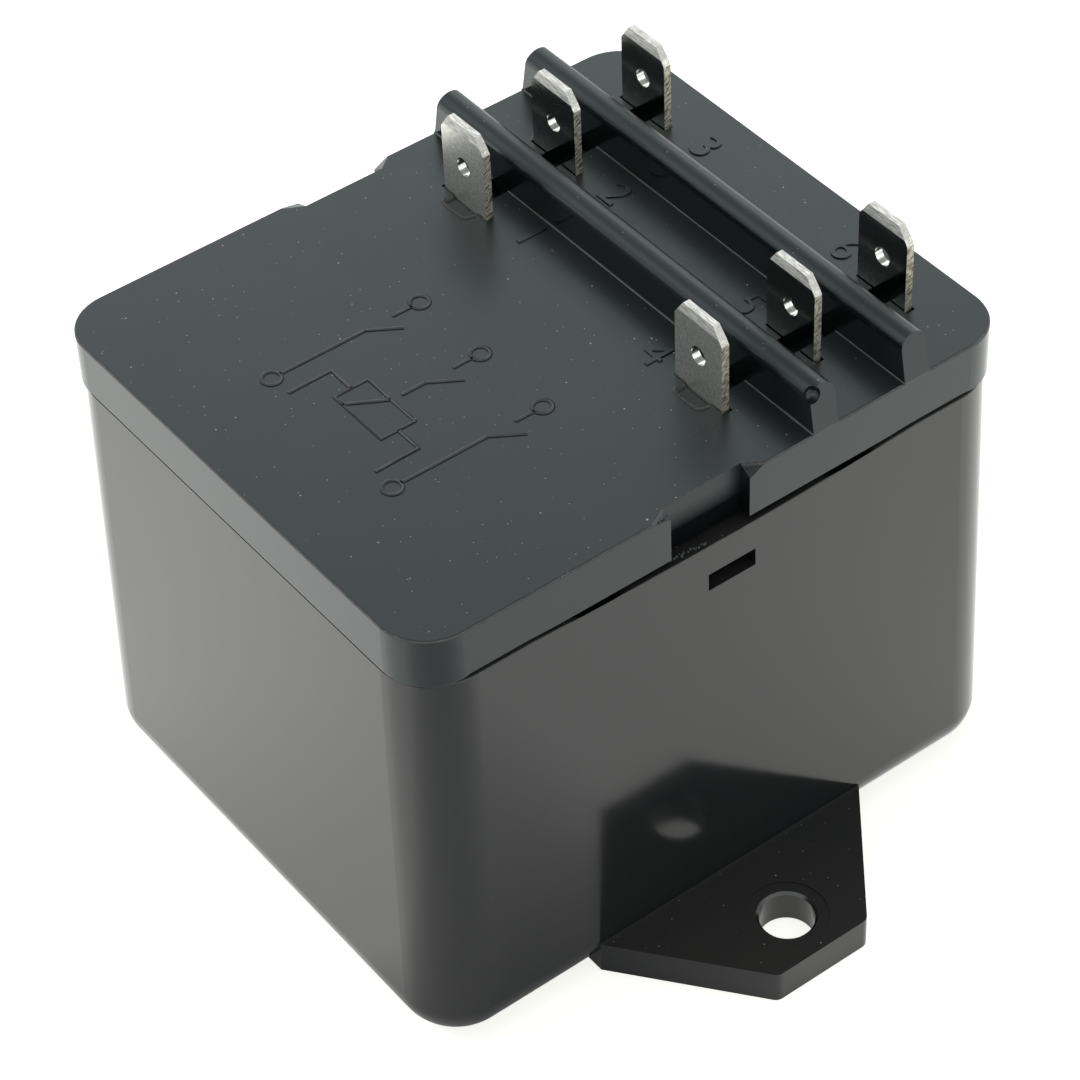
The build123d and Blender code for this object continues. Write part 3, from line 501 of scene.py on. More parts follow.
@dataclass(frozen=True)
class Shell(Moulding):
    """A moulded outer shell: its rounded edges carry painted highlights in patches and its walls
    are polished.

    The painted highlights on the edges lie more than edge_away above and below edge_middle, from
    edge_low to edge_high, on slopes between wall and top. A recess is the part of an end wall
    nearer the middle than recess_x and recess_y and below edge_high; the mould leaves it rough, and
    its foot is painted dark by taking its sheen away. The seam is a line of painted shade round the
    long sides, under the lid's overhang, with its sheen taken away.
    """

    # Colour of the painted highlights on the rounded edges.
    edge: str = "#a39e92"
    edge_share: float = 0.22
    edge_middle: float = 48.5
    edge_away: float = 2.42
    edge_low: float = 45.0
    edge_high: float = 51.2
    edge_soft: float = 0.05
    edge_slopes: tuple[Flat, Flat] = ((0.12, 0.3), (0.97, 0.9))
    edge_patches: Clouds = Clouds(0.7, 0.3, 0.7)
    edge_kept: float = -0.6
    haze: float = 0.0
    wall_roughness: float = 0.12
    wall_slopes: Flat = (0.1, 0.6)
    seam: float = 45.5
    seam_half: float = 0.1
    seam_core: float = 0.7
    seam_slopes: Flat = (0.8, 0.6)
    recess_x: float = 0.0
    recess_y: float = 9.0
    recess_roughness: float = 0.45
    recess_dark: float = 47.6
    recess_light: float = 49.8
    recess_slopes: Flat = (0.7, 0.8)
    recess_soft: Flat = (0.2, 1.0)

    def worn(self, paint: Paint, colour: Output) -> Output:
        """Lays a haze of dust on upward faces, paints highlights on the rounded edges here and
        there, and paints shade into the seam.

        Args:
            paint: The material's tree.
            colour: The colour without dust and painted light.

        Returns:
            The colour with dust and painted light.
        """
        height, upward = paint.place[2], paint.facing[2]
        if self.haze:
            settled = paint.product(paint.step(upward, self.level[0], 1.0), self.haze)
            colour = paint.mixed(settled, colour, DUST)
        # Painted highlight: pale patches on the rounded edges at the joint and at the lid's top
        # edge.
        slope = paint.away(upward)
        edge_highlight = paint.product(
            *(paint.step(slope, *limits) for limits in self.edge_slopes),
            paint.ramp(paint.away(height, self.edge_middle * MM), self.edge_away, self.edge_soft),
            paint.ramp(height, self.edge_low, self.edge_soft),
            paint.ramp(height, self.edge_high, -self.edge_soft),
            paint.step(self.edge_patches.on(paint), self.edge_kept, 1.0),
            self.edge_share,
        )
        # Painted shade: the seam is mixed to near black.
        return paint.mixed(self.dirty(paint), paint.mixed(edge_highlight, colour, self.edge), SEAM_SHADE)

    def polished(self, paint: Paint, rough: Output) -> Output:
        """Gives upright faces the polish of the mould's walls, apart from a recess.

        Args:
            paint: The material's tree.
            rough: The roughness of upward faces.

        Returns:
            The roughness of all faces.
        """
        upward = paint.step(paint.facing[2], *self.wall_slopes)
        rough = paint.blend(upward, self.wall_roughness, rough)
        if not self.recess_x:
            return rough
        return paint.blend(self.recess(paint), rough, self.recess_roughness)

    def dirty(self, paint: Paint) -> Output:
        """Marks the seam, where shade is painted under the lid's overhang.

        Args:
            paint: The material's tree.

        Returns:
            1 in the seam of the long sides and 0 elsewhere.
        """
        off = paint.away(paint.place[2], self.seam * MM)
        near = paint.ramp(off, self.seam_half, (self.seam_core - 1) * self.seam_half)
        return paint.product(near, paint.step(paint.away(paint.facing[0]), *self.seam_slopes))

    def recess(self, paint: Paint) -> Output:
        """Marks the recess.

        Args:
            paint: The material's tree.

        Returns:
            1 on the recessed part of the end walls and 0 elsewhere.
        """
        x, y, z = paint.place
        soft_x, soft_y = self.recess_soft
        return paint.product(
            paint.step(paint.away(paint.facing[0]), *self.recess_slopes),
            paint.ramp(paint.away(x), self.recess_x + soft_x / 2, -soft_x),
            paint.ramp(paint.away(y), self.recess_y, -soft_y),
            paint.ramp(z, self.edge_high, -self.edge_soft),
        )

    def shone(self, paint: Paint) -> Value:
        """Takes the sheen from the seam and from the foot of a recess, as painted shade.

        Args:
            paint: The material's tree.

        Returns:
            The strength of the sheen.
        """
        dark = self.dirty(paint)
        if self.recess_x:
            # Painted shade: the foot of the recess loses its sheen below recess_light.
            low = paint.step(paint.place[2], self.recess_light * MM, self.recess_dark * MM)
            foot = paint.product(self.recess(paint), low)
            dark = paint.add("ShaderNodeMath", {0: dark, 1: foot}, operation="MAXIMUM")
        return paint.blend(dark, self.shine, 0.0)


@dataclass(frozen=True)
class Metal(Finish):
    """Rolled, plated or drawn metal: tarnish clouds and fine lines along the rolling direction."""

    tarnish: str
    roughness: float
    dull_roughness: float
    cloud_mm: float = 2.5
    cloud_range: Flat = (0.45, 0.7)
    line_depth: float = 0.0015
    lines: Clouds = Clouds(0.12, 0.2, 0.8, (1.0, 1.0, 12.5))

    def fill(self, paint: Paint) -> None:
        """Fills the tree in.

        Args:
            paint: The material's tree.
        """
        cloud = Clouds(self.cloud_mm, *self.cloud_range).on(paint)
        paint.feed(
            paint.shader,
            {
                "Base Color": paint.mixed(cloud, self.colour, self.tarnish),
                "Roughness": paint.blend(cloud, self.roughness, self.dull_roughness),
                "Normal": paint.relief((self.lines.on(paint), self.line_depth)),
                "Metallic": 1.0,
            },
        )


@dataclass(frozen=True)
class ShearedTin(Finish):
    """Tin plate on stamped brass strip: smooth faces, coined tips with coarse streaks, torn edges.
    The coined tips' pale colour is partly painted highlight, and their torn corners are painted
    white as a highlight.

    The tips start at tip_height. The row of tabs in front of handled_row is dulled by handling.
    The holes lie column to either side of the middle, and their walls aren't torn.
    """

    shade: str
    edge: str
    crevice: str
    roughness: float
    handled_roughness: float
    edge_roughness: float
    tip_height: float = 58.85
    tip_soft: float = 0.04
    tip_metal: float = 0.45
    tip_light: str = "#fdfcf8"
    tip_shade: str = "#cbc9c3"
    handled_row: float = 10.0
    handled_soft: float = 1.0
    handled_metal: float = 0.88
    column: float = 16.86
    hole_reach: float = 1.3
    hole_soft: float = 0.2
    edge_slopes: Flat = (0.75, 0.92)
    hole_slopes: Flat = (0.5, 0.3)
    mottle: Clouds = Clouds(0.3, 0.35, 0.7)
    mottle_depth: float = 0.002
    streaks: Clouds = Clouds(0.16, 0.42, 0.58, (7.0, 1.0, 1.0))
    streak_depth: float = 0.02
    tears: Clouds = Clouds(0.13, 0.44, 0.56, (1.0, 5.0, 1.0), 38.0)
    tear_depth: float = 0.03

    def fill(self, paint: Paint) -> None:
        """Fills the tree in.

        Args:
            paint: The material's tree.
        """
        across, along = (paint.away(paint.facing[axis]) for axis in (0, 1))
        off_hole = paint.away(paint.away(paint.place[0]), self.column * MM)
        beside = paint.ramp(off_hole, self.hole_reach, self.hole_soft)
        sheared = paint.product(paint.step(across, *self.edge_slopes), beside)
        pierced = paint.product(
            paint.ramp(off_hole, self.hole_reach + self.hole_soft, -self.hole_soft),
            paint.step(along, *self.hole_slopes),
        )
        tip = paint.ramp(paint.place[2], self.tip_height - self.tip_soft, 2 * self.tip_soft)
        front = paint.ramp(
            paint.place[1], self.handled_row + self.handled_soft, -2 * self.handled_soft
        )
        handled = paint.blend(pierced, front, 0.0)
        mottle, streak, tear = (c.on(paint) for c in (self.mottle, self.streaks, self.tears))
        worked = paint.add("ShaderNodeMath", {0: sheared, 1: tip}, operation="MAXIMUM")
        smooth = paint.blend(handled, self.roughness, self.handled_roughness)
        bright = paint.blend(handled, 1.0, self.handled_metal)
        face = paint.mixed(mottle, self.colour, self.shade)
        # The coined tip's pale streaks are partly painted highlight.
        coined = paint.mixed(streak, self.tip_shade, self.tip_light)
        torn = paint.mixed(tear, self.crevice, self.edge)
        colour = paint.mixed(sheared, paint.mixed(tip, face, coined), torn)
        paint.feed(
            paint.shader,
            {
                # Painted highlight: the torn corners of the tips are set near white.
                "Base Color": paint.mixed(paint.product(sheared, tip), colour, self.tip_light),
                "Roughness": paint.blend(worked, smooth, self.edge_roughness),
                "Normal": paint.relief(
                    (mottle, self.mottle_depth),
                    (paint.product(tear, sheared), self.tear_depth),
                    (paint.product(streak, tip), self.streak_depth),
                ),
                "Metallic": paint.blend(tip, bright, self.tip_metal),
            },
        )


@dataclass(frozen=True)
class Laminate(Finish):
    """Glass-cloth board under green solder mask: the weave shows faintly through the mask."""

    weave: str
    thread_mm: float = 0.45
    thread_depth: float = 0.01
    wander: float = 0.6
    roughness: float = 0.32
    mask: float = 0.4

    def fill(self, paint: Paint) -> None:
        """Fills the tree in.

        Args:
            paint: The material's tree.
        """
        # A wave texture counts 20 radians for each unit of its scale.
        scale = per_metre(self.thread_mm) * math.tau / 20
        threads = (
            paint.add(
                "ShaderNodeTexWave",
                {"Vector": paint.spot, "Scale": scale, "Distortion": self.wander},
                bands_direction=direction,
            ).outputs["Fac"]
            for direction in ("X", "Y")
        )
        cloth = paint.product(*threads)
        paint.feed(
            paint.shader,
            {
                "Base Color": paint.mixed(cloth, self.colour, self.weave),
                "Normal": paint.relief((cloth, self.thread_depth)),
                "Roughness": self.roughness,
                "Coat Weight": self.mask,
            },
        )


FINISHES: dict[Slot, Finish] = {
    # Glossy moulded ABS from a polished mould: a sharp mirror at grazing angles over a soft
    # ripple, with the flow of the melt as faint clouds.
    Slot.CASE: Shell(
        "polished_moulded_abs", "#202224", "#252626", 0.1, 0.17, cloud_mm=26.0, ripple_mm=16.0,
        ripple_depth=0.02, grain_mm=1.2, grain_depth=0.0006, scratch_depth=0.002, dust=0.2,
        ior=1.55, haze=0.03,
    ),
    # Satin moulded ABS from a fine spark-eroded mould: a soft sheen, and settled dust.
    Slot.LID: Shell(
        "satin_moulded_abs", "#15191a", "#1a1e1e", 0.33, 0.39, cloud_mm=12.0, ripple_mm=14.0,
        ripple_depth=0.006, grain_mm=0.22, grain_depth=0.0016, scratch_depth=0.002, dust=0.22,
        ior=1.55, tint="#eefcff", recess_x=26.6,
    ),
    # Bright tin plate on brass strip, dulled where it is handled, its tips painted near white as a
    # highlight.
    Slot.TAB: ShearedTin(
        "tin_plated_brass", "#f1f0ea", "#c6c5bf", "#e6e2d2", "#77725f", 0.14, 0.38, 0.5
    ),
    # Glass-epoxy laminate: green mask over a faint woven texture.
    Slot.BOARD: Laminate("glass_epoxy_laminate", "#1d5a35", "#2d7a4b"),
    # Bright zinc on pressed steel: cool grey with a slightly blue, cloudy sheen.
    Slot.ZINC: Metal("bright_zinc_plate", "#b9bec4", "#989b9c", 0.26, 0.45),
    # Annealed soft iron with a thin nickel flash: warm grey and smooth.
    Slot.IRON: Metal("nickelled_soft_iron", "#a8a49b", "#8d8981", 0.24, 0.4),
    # Glass-filled polyester: matt, slightly grainy, off-white.
    Slot.RELAY: Moulding("glass_filled_polyester", "#c9c4b5", "#b9b3a2", 0.45, 0.6),
    # Natural nylon: milky and waxy.
    Slot.BOBBIN: Moulding("natural_nylon", "#d8d2c0", "#c9c2ad", 0.38, 0.5),
    # Enamelled copper wire: dark orange metal under clear varnish.
    Slot.WIRE: Metal("enamelled_copper_wire", "#b4572a", "#8e3f1e", 0.22, 0.34),
    # Tin-dipped copper leads: soft white metal.
    Slot.LEAD: Metal("tin_dipped_copper", "#c4c4bf", "#a8a8a4", 0.3, 0.5),
    # Bare phosphor bronze strip: warm brown-pink, lightly tarnished.
    Slot.COPPER: Metal("phosphor_bronze_strip", "#c08a5c", "#9a6a44", 0.25, 0.42),
    # Silver-tin-oxide contact: dull white metal.
    Slot.SILVER: Metal("silver_contact_alloy", "#cfcdc6", "#aeaba3", 0.34, 0.5),
    # Drawn spring wire: fine lines along the wire.
    Slot.SPRING: Metal("drawn_spring_wire", "#a9abae", "#8b8c8d", 0.28, 0.4),
    # Moulded flame-resistant polyester box: yellow, satin.
    Slot.FILM_BOX: Moulding("yellow_polyester_box", "#c79a2c", "#b88b22", 0.36, 0.46),
    # Shrunk vinyl sleeve: dark, soft gloss.
    Slot.SLEEVE: Moulding("shrunk_vinyl_sleeve", "#1e2436", "#272e42", 0.28, 0.36, coat=0.3),
    # Moulded epoxy: near black, dry and matt.
    Slot.EPOXY: Moulding("moulded_epoxy", "#222223", "#2c2c2c", 0.5, 0.62),
    # Flameproof cement coat: grey-green, matt and dusty.
    Slot.RESISTOR: Moulding(
        "flameproof_cement", "#6f7a6c", "#7d8779", 0.6, 0.75, grain_depth=0.01
    ),
    # Dipped phenolic coat: deep blue with a thick, rounded gloss.
    Slot.DISC: Moulding("dipped_phenolic", "#1f3f7a", "#27498a", 0.25, 0.35, coat=0.4),
    # Lacquered film resistor: tan lacquer.
    Slot.SMALL_RESISTOR: Moulding("tan_lacquer", "#b79a6d", "#a98c60", 0.3, 0.4, coat=0.4),
}


@cache
def dress_of(slot: Slot) -> bpy.types.Material:
    """Gives the one material of a slot, made on first use."""
    return FINISHES[slot].material()


@dataclass(frozen=True)
class Floor(Finish):
    """Pale matt floor that stays white for the camera and for reflections, under soft shadows.

    The studio's floor falls off towards the photographer, so what the front corner mirrors is
    darker. mirror_levels gives shares of the way round to shade_azimuth with their brightness.
    """

    glow: str = "#fffff9"
    lift: float = 0.8
    roughness: float = 0.9
    shine: float = 0.1
    shade_azimuth: float = -35.6
    mirror_levels: tuple[Flat, ...] = (
        (0.0, 0.95), (0.45, 0.97), (0.63, 0.84), (0.8, 0.68), (0.91, 0.64), (0.96, 0.26),
        (1.0, 0.08),
    )

    def fill(self, paint: Paint) -> None:
        """Fills the tree in.

        Args:
            paint: The material's tree.
        """
        level = paint.add(
            "ShaderNodeVectorMath", {0: paint.spot, 1: (1.0, 1.0, 0.0)}, operation="MULTIPLY"
        )
        unit = paint.add("ShaderNodeVectorMath", {0: level}, operation="NORMALIZE")
        towards = paint.towards(unit, self.shade_azimuth)
        ramp = paint.add("ShaderNodeValToRGB", {"Fac": paint.step(towards, -1.0, 1.0)})
        stops = ramp.color_ramp.elements
        while len(stops) < len(self.mirror_levels):
            stops.new(0.5)
        for stop, (place, bright) in zip(stops, self.mirror_levels):
            stop.position = place
            stop.color = (bright, bright, bright, 1.0)
        seen, mirrored = paint.rays()
        glow = {0: seen, 1: self.lift, 2: paint.product(mirrored, ramp)}
        paint.feed(
            paint.shader,
            {
                "Base Color": self.colour,
                "Roughness": self.roughness,
                "Specular IOR Level": self.shine,
                "Emission Color": self.glow,
                "Emission Strength": paint.add("ShaderNodeMath", glow, operation="MULTIPLY_ADD"),
            },
        )


@dataclass(frozen=True)
class Lamp:
    """A soft square lamp; places and sides in metres, power in watts."""

    name: str
    place: Point
    side: float
    power: float

    def build(self, aim: Vector) -> None:
        """Adds the lamp, which lights but isn't mirrored.

        Args:
            aim: The point that it faces, in metres.
        """
        data = bpy.data.lights.new(self.name, "AREA")
        data.size = self.side
        data.energy = self.power
        lamp = linked(self.name, data)
        lamp.location = self.place
        lamp.visible_glossy = False
        lamp.rotation_euler = (aim - Vector(self.place)).to_track_quat("-Z", "Y").to_euler()


@dataclass(frozen=True)
class Studio:
    """The plain pale floor, the white surround and the soft lamps; sides in metres.

    tent_levels gives heights, from the horizon at 0 to straight up at 1, with how bright the
    surround is mirrored there. Towards dim_azimuth it is dimmer by dim_level.
    """

    floor_side: float = 6.0
    floor_drop: float = 0.00003
    ambient: float = 0.42
    tent_colour: str = "#fbffff"
    tent_top: float = 2.2
    tent_levels: tuple[Flat, ...] = (
        (0.0, 1.0), (0.3, 1.2), (0.5, 2.0), (0.62, 1.9), (0.72, 0.8), (0.8, 0.4), (1.0, 0.3),
    )
    dim_azimuth: float = 229.5
    dim_level: float = 0.8
    dim_range: Flat = (0.35, 0.75)
    lamps: tuple[Lamp, ...] = (
        Lamp("lamp_overhead", (-0.25, 0.15, 0.95), 0.7, 3.6),
        Lamp("lamp_left", (-0.7, -0.6, 0.6), 0.6, 3.0),
    )

    def build(self) -> None:
        """Adds the floor, the world and the lamps."""
        half = self.floor_side / 2
        mesh = bpy.data.meshes.new("floor")
        corners = [(-half, -half), (half, -half), (half, half), (-half, half)]
        mesh.from_pydata([(x, y, -self.floor_drop) for x, y in corners], [], [(0, 1, 2, 3)])
        mesh.materials.append(Floor("pale_matt_floor", "#e6e6e4").material())
        floor = linked("floor", mesh)
        floor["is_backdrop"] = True
        low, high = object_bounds()
        for lamp in self.lamps:
            lamp.build((low + high) / 2)
        self.surround()

    def surround(self) -> None:
        """Makes the world white where it is seen, softer as a light, and shaded where mirrored."""
        world = bpy.data.worlds.new("surround")
        world.use_nodes = True
        sky = Tree(world.node_tree)
        seen, mirrored = sky.rays()
        direction = sky.add("ShaderNodeTexCoord").outputs["Generated"]
        height = sky.add("ShaderNodeSeparateXYZ", {0: direction}).outputs[2]
        tent = sky.add("ShaderNodeFloatCurve", {"Value": height})
        curve = tent.mapping.curves[0]
        first, *middle, last = self.tent_levels
        for point, (place, level) in zip(curve.points, (first, last)):
            point.location = (place, level / self.tent_top)
        for place, level in middle:
            curve.points.new(place, level / self.tent_top)
        tent.mapping.update()
        side = sky.step(sky.towards(direction, self.dim_azimuth), *self.dim_range)
        dim = sky.blend(side, self.tent_top, self.tent_top * self.dim_level)
        lit = sky.blend(mirrored, self.ambient, sky.product(tent, dim))
        tint = sky.mixed(seen, self.tent_colour, "#ffffff")
        strength = sky.blend(seen, lit, 1.0)
        background = sky.add("ShaderNodeBackground", {"Color": tint, "Strength": strength})
        sky.add("ShaderNodeOutputWorld", {"Surface": background})
        bpy.context.scene.world = world


@dataclass(frozen=True)
class PhotoCamera:
    """The photograph's viewpoint.

    The camera looks along back, from distance away, past a point that lies aim_right and aim_up
    from the part's origin in the picture's own directions.
    """

    azimuth: float = 54.411
    elevation: float = 43.9256
    roll: float = -2.6585
    aim_right: float = -0.817
    aim_up: float = 17.429
    distance: float = 367.339
    lens: float = 125.262
    sensor: float = 36.0
    near: float = 10.0

    def build(self) -> None:
        """Adds the camera and makes it the scene's own."""
        turn, rise, tilt = (math.radians(a) for a in (self.azimuth, self.elevation, self.roll))
        back = Vector(
            (math.sin(turn) * math.cos(rise), -math.cos(turn) * math.cos(rise), math.sin(rise))
        )
        level = Vector((0, 0, 1)).cross(back).normalized()
        upright = back.cross(level)
        right = math.cos(tilt) * level + math.sin(tilt) * upright
        up = math.cos(tilt) * upright - math.sin(tilt) * level
        data = bpy.data.cameras.new("photo_camera")
        data.lens = self.lens
        data.sensor_width = self.sensor
        data.clip_start = self.near * MM
        camera = linked("photo_camera", data)
        place = (self.aim_right * right + self.aim_up * up + self.distance * back) * MM
        camera.matrix_world = Matrix.Translation(place) @ (
            Matrix((right, up, back)).transposed().to_4x4()
        )
        bpy.context.scene.camera = camera


def settle(piece: bpy.types.Object, body: Body = Body.UNIT) -> None:
    """Rides a finished piece on its body and reports it.

    Args:
        piece: The finished mesh object.
        body: The body that carries it.
    """
    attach(piece, body.value)
    LOG.info("%s: %d faces on %s", piece.name, len(piece.data.polygons), body.value)


def lines_mesh(
    name: str, points: Sequence[Sequence[float]], edges: Sequence[tuple[int, int]] = ()
) -> bpy.types.Mesh:
    """Makes a mesh of points and edges.

    Args:
        name: The mesh's name.
        points: Places in mm.
        edges: Pairs of points that are joined.

    Returns:
        The mesh, in metres.
    """
    mesh = bpy.data.meshes.new(name)
    mesh.from_pydata([Vector(p) * MM for p in points], edges, [])
    return mesh


class Recipe(Tree):
    """A Geometry Nodes tree with named inputs, which bakes into one plain mesh piece."""

    def __init__(self, name: str) -> None:
        """Starts the tree with its geometry input and output.

        Args:
            name: The piece's name.
        """
        super().__init__(bpy.data.node_groups.new(name, "GeometryNodeTree"))
        self.name = name
        for way in ("INPUT", "OUTPUT"):
            self.tree.interface.new_socket(
                "Geometry", in_out=way, socket_type="NodeSocketGeometry"
            )
        self.entry = self.add("NodeGroupInput")
        self.values: dict[str, Any] = {}

    def size(self, label: str, value: Any, kind: Socket = Socket.LENGTH) -> Output:
        """Adds a named input.

        Args:
            label: The input's name.
            value: Its value for this piece, lengths in metres.
            kind: What it holds.

        Returns:
            The output inside the tree.
        """
        made = self.tree.interface.new_socket(label, in_out="INPUT", socket_type=kind.value)
        self.values[made.identifier] = value
        return self.entry.outputs[label]

    def lengths(self, sizes: dict[str, float]) -> list[Output]:
        """Adds named inputs for lengths in mm and gives their outputs."""
        return [self.size(label, value * MM) for label, value in sizes.items()]

    def bake(self, source: bpy.types.Mesh, result: Output, slot: Slot) -> None:
        """Ends the tree and turns its result into a plain mesh piece at the origin.

        Args:
            source: The mesh that the tree starts from.
            result: The geometry to keep.
            slot: The slot that the result takes its finish from.
        """
        real = self.add("GeometryNodeRealizeInstances", {"Geometry": result})
        dressed = self.add(
            "GeometryNodeSetMaterial", {"Geometry": real, "Material": dress_of(slot)}
        )
        self.add("NodeGroupOutput", {"Geometry": dressed})
        piece = linked(self.name, source)
        modifier = piece.modifiers.new(self.name, "NODES")
        modifier.node_group = self.tree
        for identifier, value in self.values.items():
            modifier[identifier] = value
        mesh = plain(piece)
        piece.modifiers.remove(modifier)
        piece.data = mesh
        settle(piece)


@dataclass(frozen=True)
class Ridges:
    """Strokes with sloping flanks, swept along lines that lie level on the lid."""

    name: str
    width: float
    top_width: float
    rise: float
    sink: float = 0.08
    same: float = 1e-6

    def build(self, lines: Sequence[Sequence[Flat]], level: float) -> None:
        """Sweeps a trapezium along the lines; a line that ends where it starts is closed.

        Args:
            lines: Points in mm.
            level: Height of the surface that the strokes stand on, in mm.
        """
        points: list[Point] = []
        edges: list[tuple[int, int]] = []
        height = level + (self.rise - self.sink) / 2
        for line in lines:
            closed = math.dist(line[0], line[-1]) < self.same
            line = line[:-1] if closed else line
            start = len(points)
            points += [(x, y, height) for x, y in line]
            edges += [(start + i, start + i + 1) for i in range(len(line) - 1)]
            if closed:
                edges.append((len(points) - 1, start))
        recipe = Recipe(self.name)
        base, top, tall = recipe.lengths(
            {
                "Base width": self.width,
                "Top width": self.top_width,
                "Height": self.rise + self.sink,
            }
        )
        curve = recipe.add("GeometryNodeMeshToCurve", {"Mesh": recipe.entry})
        upright = recipe.add("GeometryNodeSetCurveNormal", {"Curve": curve}, mode="Z_UP")
        profile = recipe.add(
            "GeometryNodeCurvePrimitiveQuadrilateral",
            {"Bottom Width": base, "Top Width": top, "Height": tall, "Offset": 0.0},
            mode="TRAPEZOID",
        )
        strokes = recipe.add(
            "GeometryNodeCurveToMesh",
            {"Curve": upright, "Profile Curve": profile, "Fill Caps": True},
        )
        recipe.bake(lines_mesh(self.name, points, edges), strokes, Slot.LID)


@dataclass(frozen=True)
class Crumbs:
    """Torn plastic: ragged grains strewn along broken edges."""

    name: str
    grain: float
    spacing: float
    spread: float
    seed: int = 7
    smallest: float = 0.35
    ragged: float = 2.2
    ragged_size: float = 1.6

    def build(self, lines: Sequence[tuple[Point, Point]]) -> None:
        """Strews grains along straight lines.

        Args:
            lines: The two ends of each line, in mm.
        """
        recipe = Recipe(self.name)
        radius, spacing, spread = recipe.lengths(
            {"Grain radius": self.grain, "Spacing": self.spacing, "Spread": self.spread}
        )
        smallest = recipe.size("Smallest share", self.smallest)
        seed = recipe.size("Seed", self.seed, Socket.COUNT)
        curve = recipe.add("GeometryNodeMeshToCurve", {"Mesh": recipe.entry})
        points = recipe.add(
            "GeometryNodeCurveToPoints", {"Curve": curve, "Length": spacing}, mode="LENGTH"
        )
        around, turn = (
            recipe.add(
                "FunctionNodeRandomValue", {0: low, 1: high, "Seed": seed}, data_type="FLOAT_VECTOR"
            )
            for low, high in (((-1, -1, -1), (1, 1, 1)), ((0, 0, 0), (math.tau,) * 3))
        )
        share = recipe.add(
            "FunctionNodeRandomValue", {2: smallest, 3: 1.0, "Seed": seed}, data_type="FLOAT"
        )
        moved = recipe.add("ShaderNodeVectorMath", {0: around, "Scale": spread}, operation="SCALE")
        strewn = recipe.add("GeometryNodeSetPosition", {"Geometry": points, "Offset": moved})
        lump = recipe.add("GeometryNodeMeshIcoSphere", {"Subdivisions": 2, "Radius": radius})
        placed = recipe.add(
            "GeometryNodeInstanceOnPoints",
            {"Points": strewn, "Instance": lump, "Rotation": turn, "Scale": share.outputs[1]},
        )
        real = recipe.add("GeometryNodeRealizeInstances", {0: placed})
        noise = recipe.add(
            "ShaderNodeTexNoise", {"Scale": per_metre(self.grain * self.ragged_size)}
        )
        signed = recipe.add(
            "ShaderNodeVectorMath",
            {0: noise.outputs["Color"], 1: (0.5, 0.5, 0.5)},
            operation="SUBTRACT",
        )
        torn = signed
        for factor in (radius, self.ragged):
            inputs = {0: torn, "Scale": factor}
            torn = recipe.add("ShaderNodeVectorMath", inputs, operation="SCALE")
        ragged = recipe.add("GeometryNodeSetPosition", {"Geometry": real, "Offset": torn})
        ends = [end for line in lines for end in line]
        edges = [(2 * i, 2 * i + 1) for i in range(len(lines))]
        recipe.bake(lines_mesh(self.name, ends, edges), ragged, Slot.LID)


@dataclass(frozen=True)
class Solder:
    """Solder fillets around the pins that come through the board."""

    name: str
    foot: float = 1.0
    tip: float = 0.35
    height: float = 0.75
    apart: float = 1.3
    shortest: float = 0.13
    sides: int = 20

    def pins(self, nodes: Sequence[str], level: float, below: bool) -> list[Flat]:
        """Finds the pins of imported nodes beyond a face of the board.

        Args:
            nodes: The nodes to look through.
            level: Height of the board's face, in mm.
            below: True for pins that stick out under it.

        Returns:
            The middle of each pin, in mm.
        """
        groups: list[list[Vector]] = []
        for name in nodes:
            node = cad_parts[name]
            for vertex in node.data.vertices:
                corner = node.matrix_world @ vertex.co / MM
                beyond = level - corner.z if below else corner.z - level
                if beyond < self.shortest:
                    continue
                near = [g for g in groups if (g[0].xy - corner.xy).length < self.apart]
                if near:
                    near[0].append(corner)
                else:
                    groups.append([corner])
        return [
            (
                (min(c.x for c in group) + max(c.x for c in group)) / 2,
                (min(c.y for c in group) + max(c.y for c in group)) / 2,
            )
            for group in groups
        ]

    def build(self, pins: Sequence[Flat], level: float, below: bool) -> None:
        """Sets a cone around each pin.

        Args:
            pins: The middle of each pin, in mm.
            level: Height of the board's face, in mm.
            below: True for cones that hang under it.
        """
        recipe = Recipe(self.name)
        foot, tip, tall = recipe.lengths(
            {"Foot radius": self.foot, "Tip radius": self.tip, "Height": self.height}
        )
        top, bottom = (foot, tip) if below else (tip, foot)
        cone = recipe.add(
            "GeometryNodeMeshCone",
            {"Vertices": self.sides, "Radius Top": top, "Radius Bottom": bottom, "Depth": tall},
        )
        flat = recipe.add(
            "GeometryNodeSetShadeSmooth", {"Geometry": cone, "Shade Smooth": False}
        )
        placed = recipe.add(
            "GeometryNodeInstanceOnPoints", {"Points": recipe.entry, "Instance": flat}
        )
        start = level - self.height if below else level
        feet = lines_mesh(self.name, [(x, y, start) for x, y in pins])
        recipe.bake(feet, placed, Slot.LEAD)


@dataclass(frozen=True)
class SubAssembly:
    """Part of the object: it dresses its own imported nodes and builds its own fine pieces."""

    nodes: ClassVar[tuple[str, ...]] = ()

    def dress(self) -> None:
        """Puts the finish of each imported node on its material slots."""
        for name in self.nodes:
            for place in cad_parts[name].material_slots:
                place.material = dress_of(Slot(place.material.name))
                LOG.info("%s: %s", name, place.material.name)

    def build(self) -> None:
        """Adds the fine pieces; a sub-assembly without any leaves this as it is."""


@dataclass(frozen=True)
class Case(SubAssembly):
    """The moulded cup with its ears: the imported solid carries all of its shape."""

    nodes: ClassVar[tuple[str, ...]] = ("case",)


@dataclass(frozen=True)
class Tabs(SubAssembly):
    """The six stamped tabs."""

    nodes: ClassVar[tuple[str, ...]] = tuple(f"terminal_{n}" for n in range(1, 7))


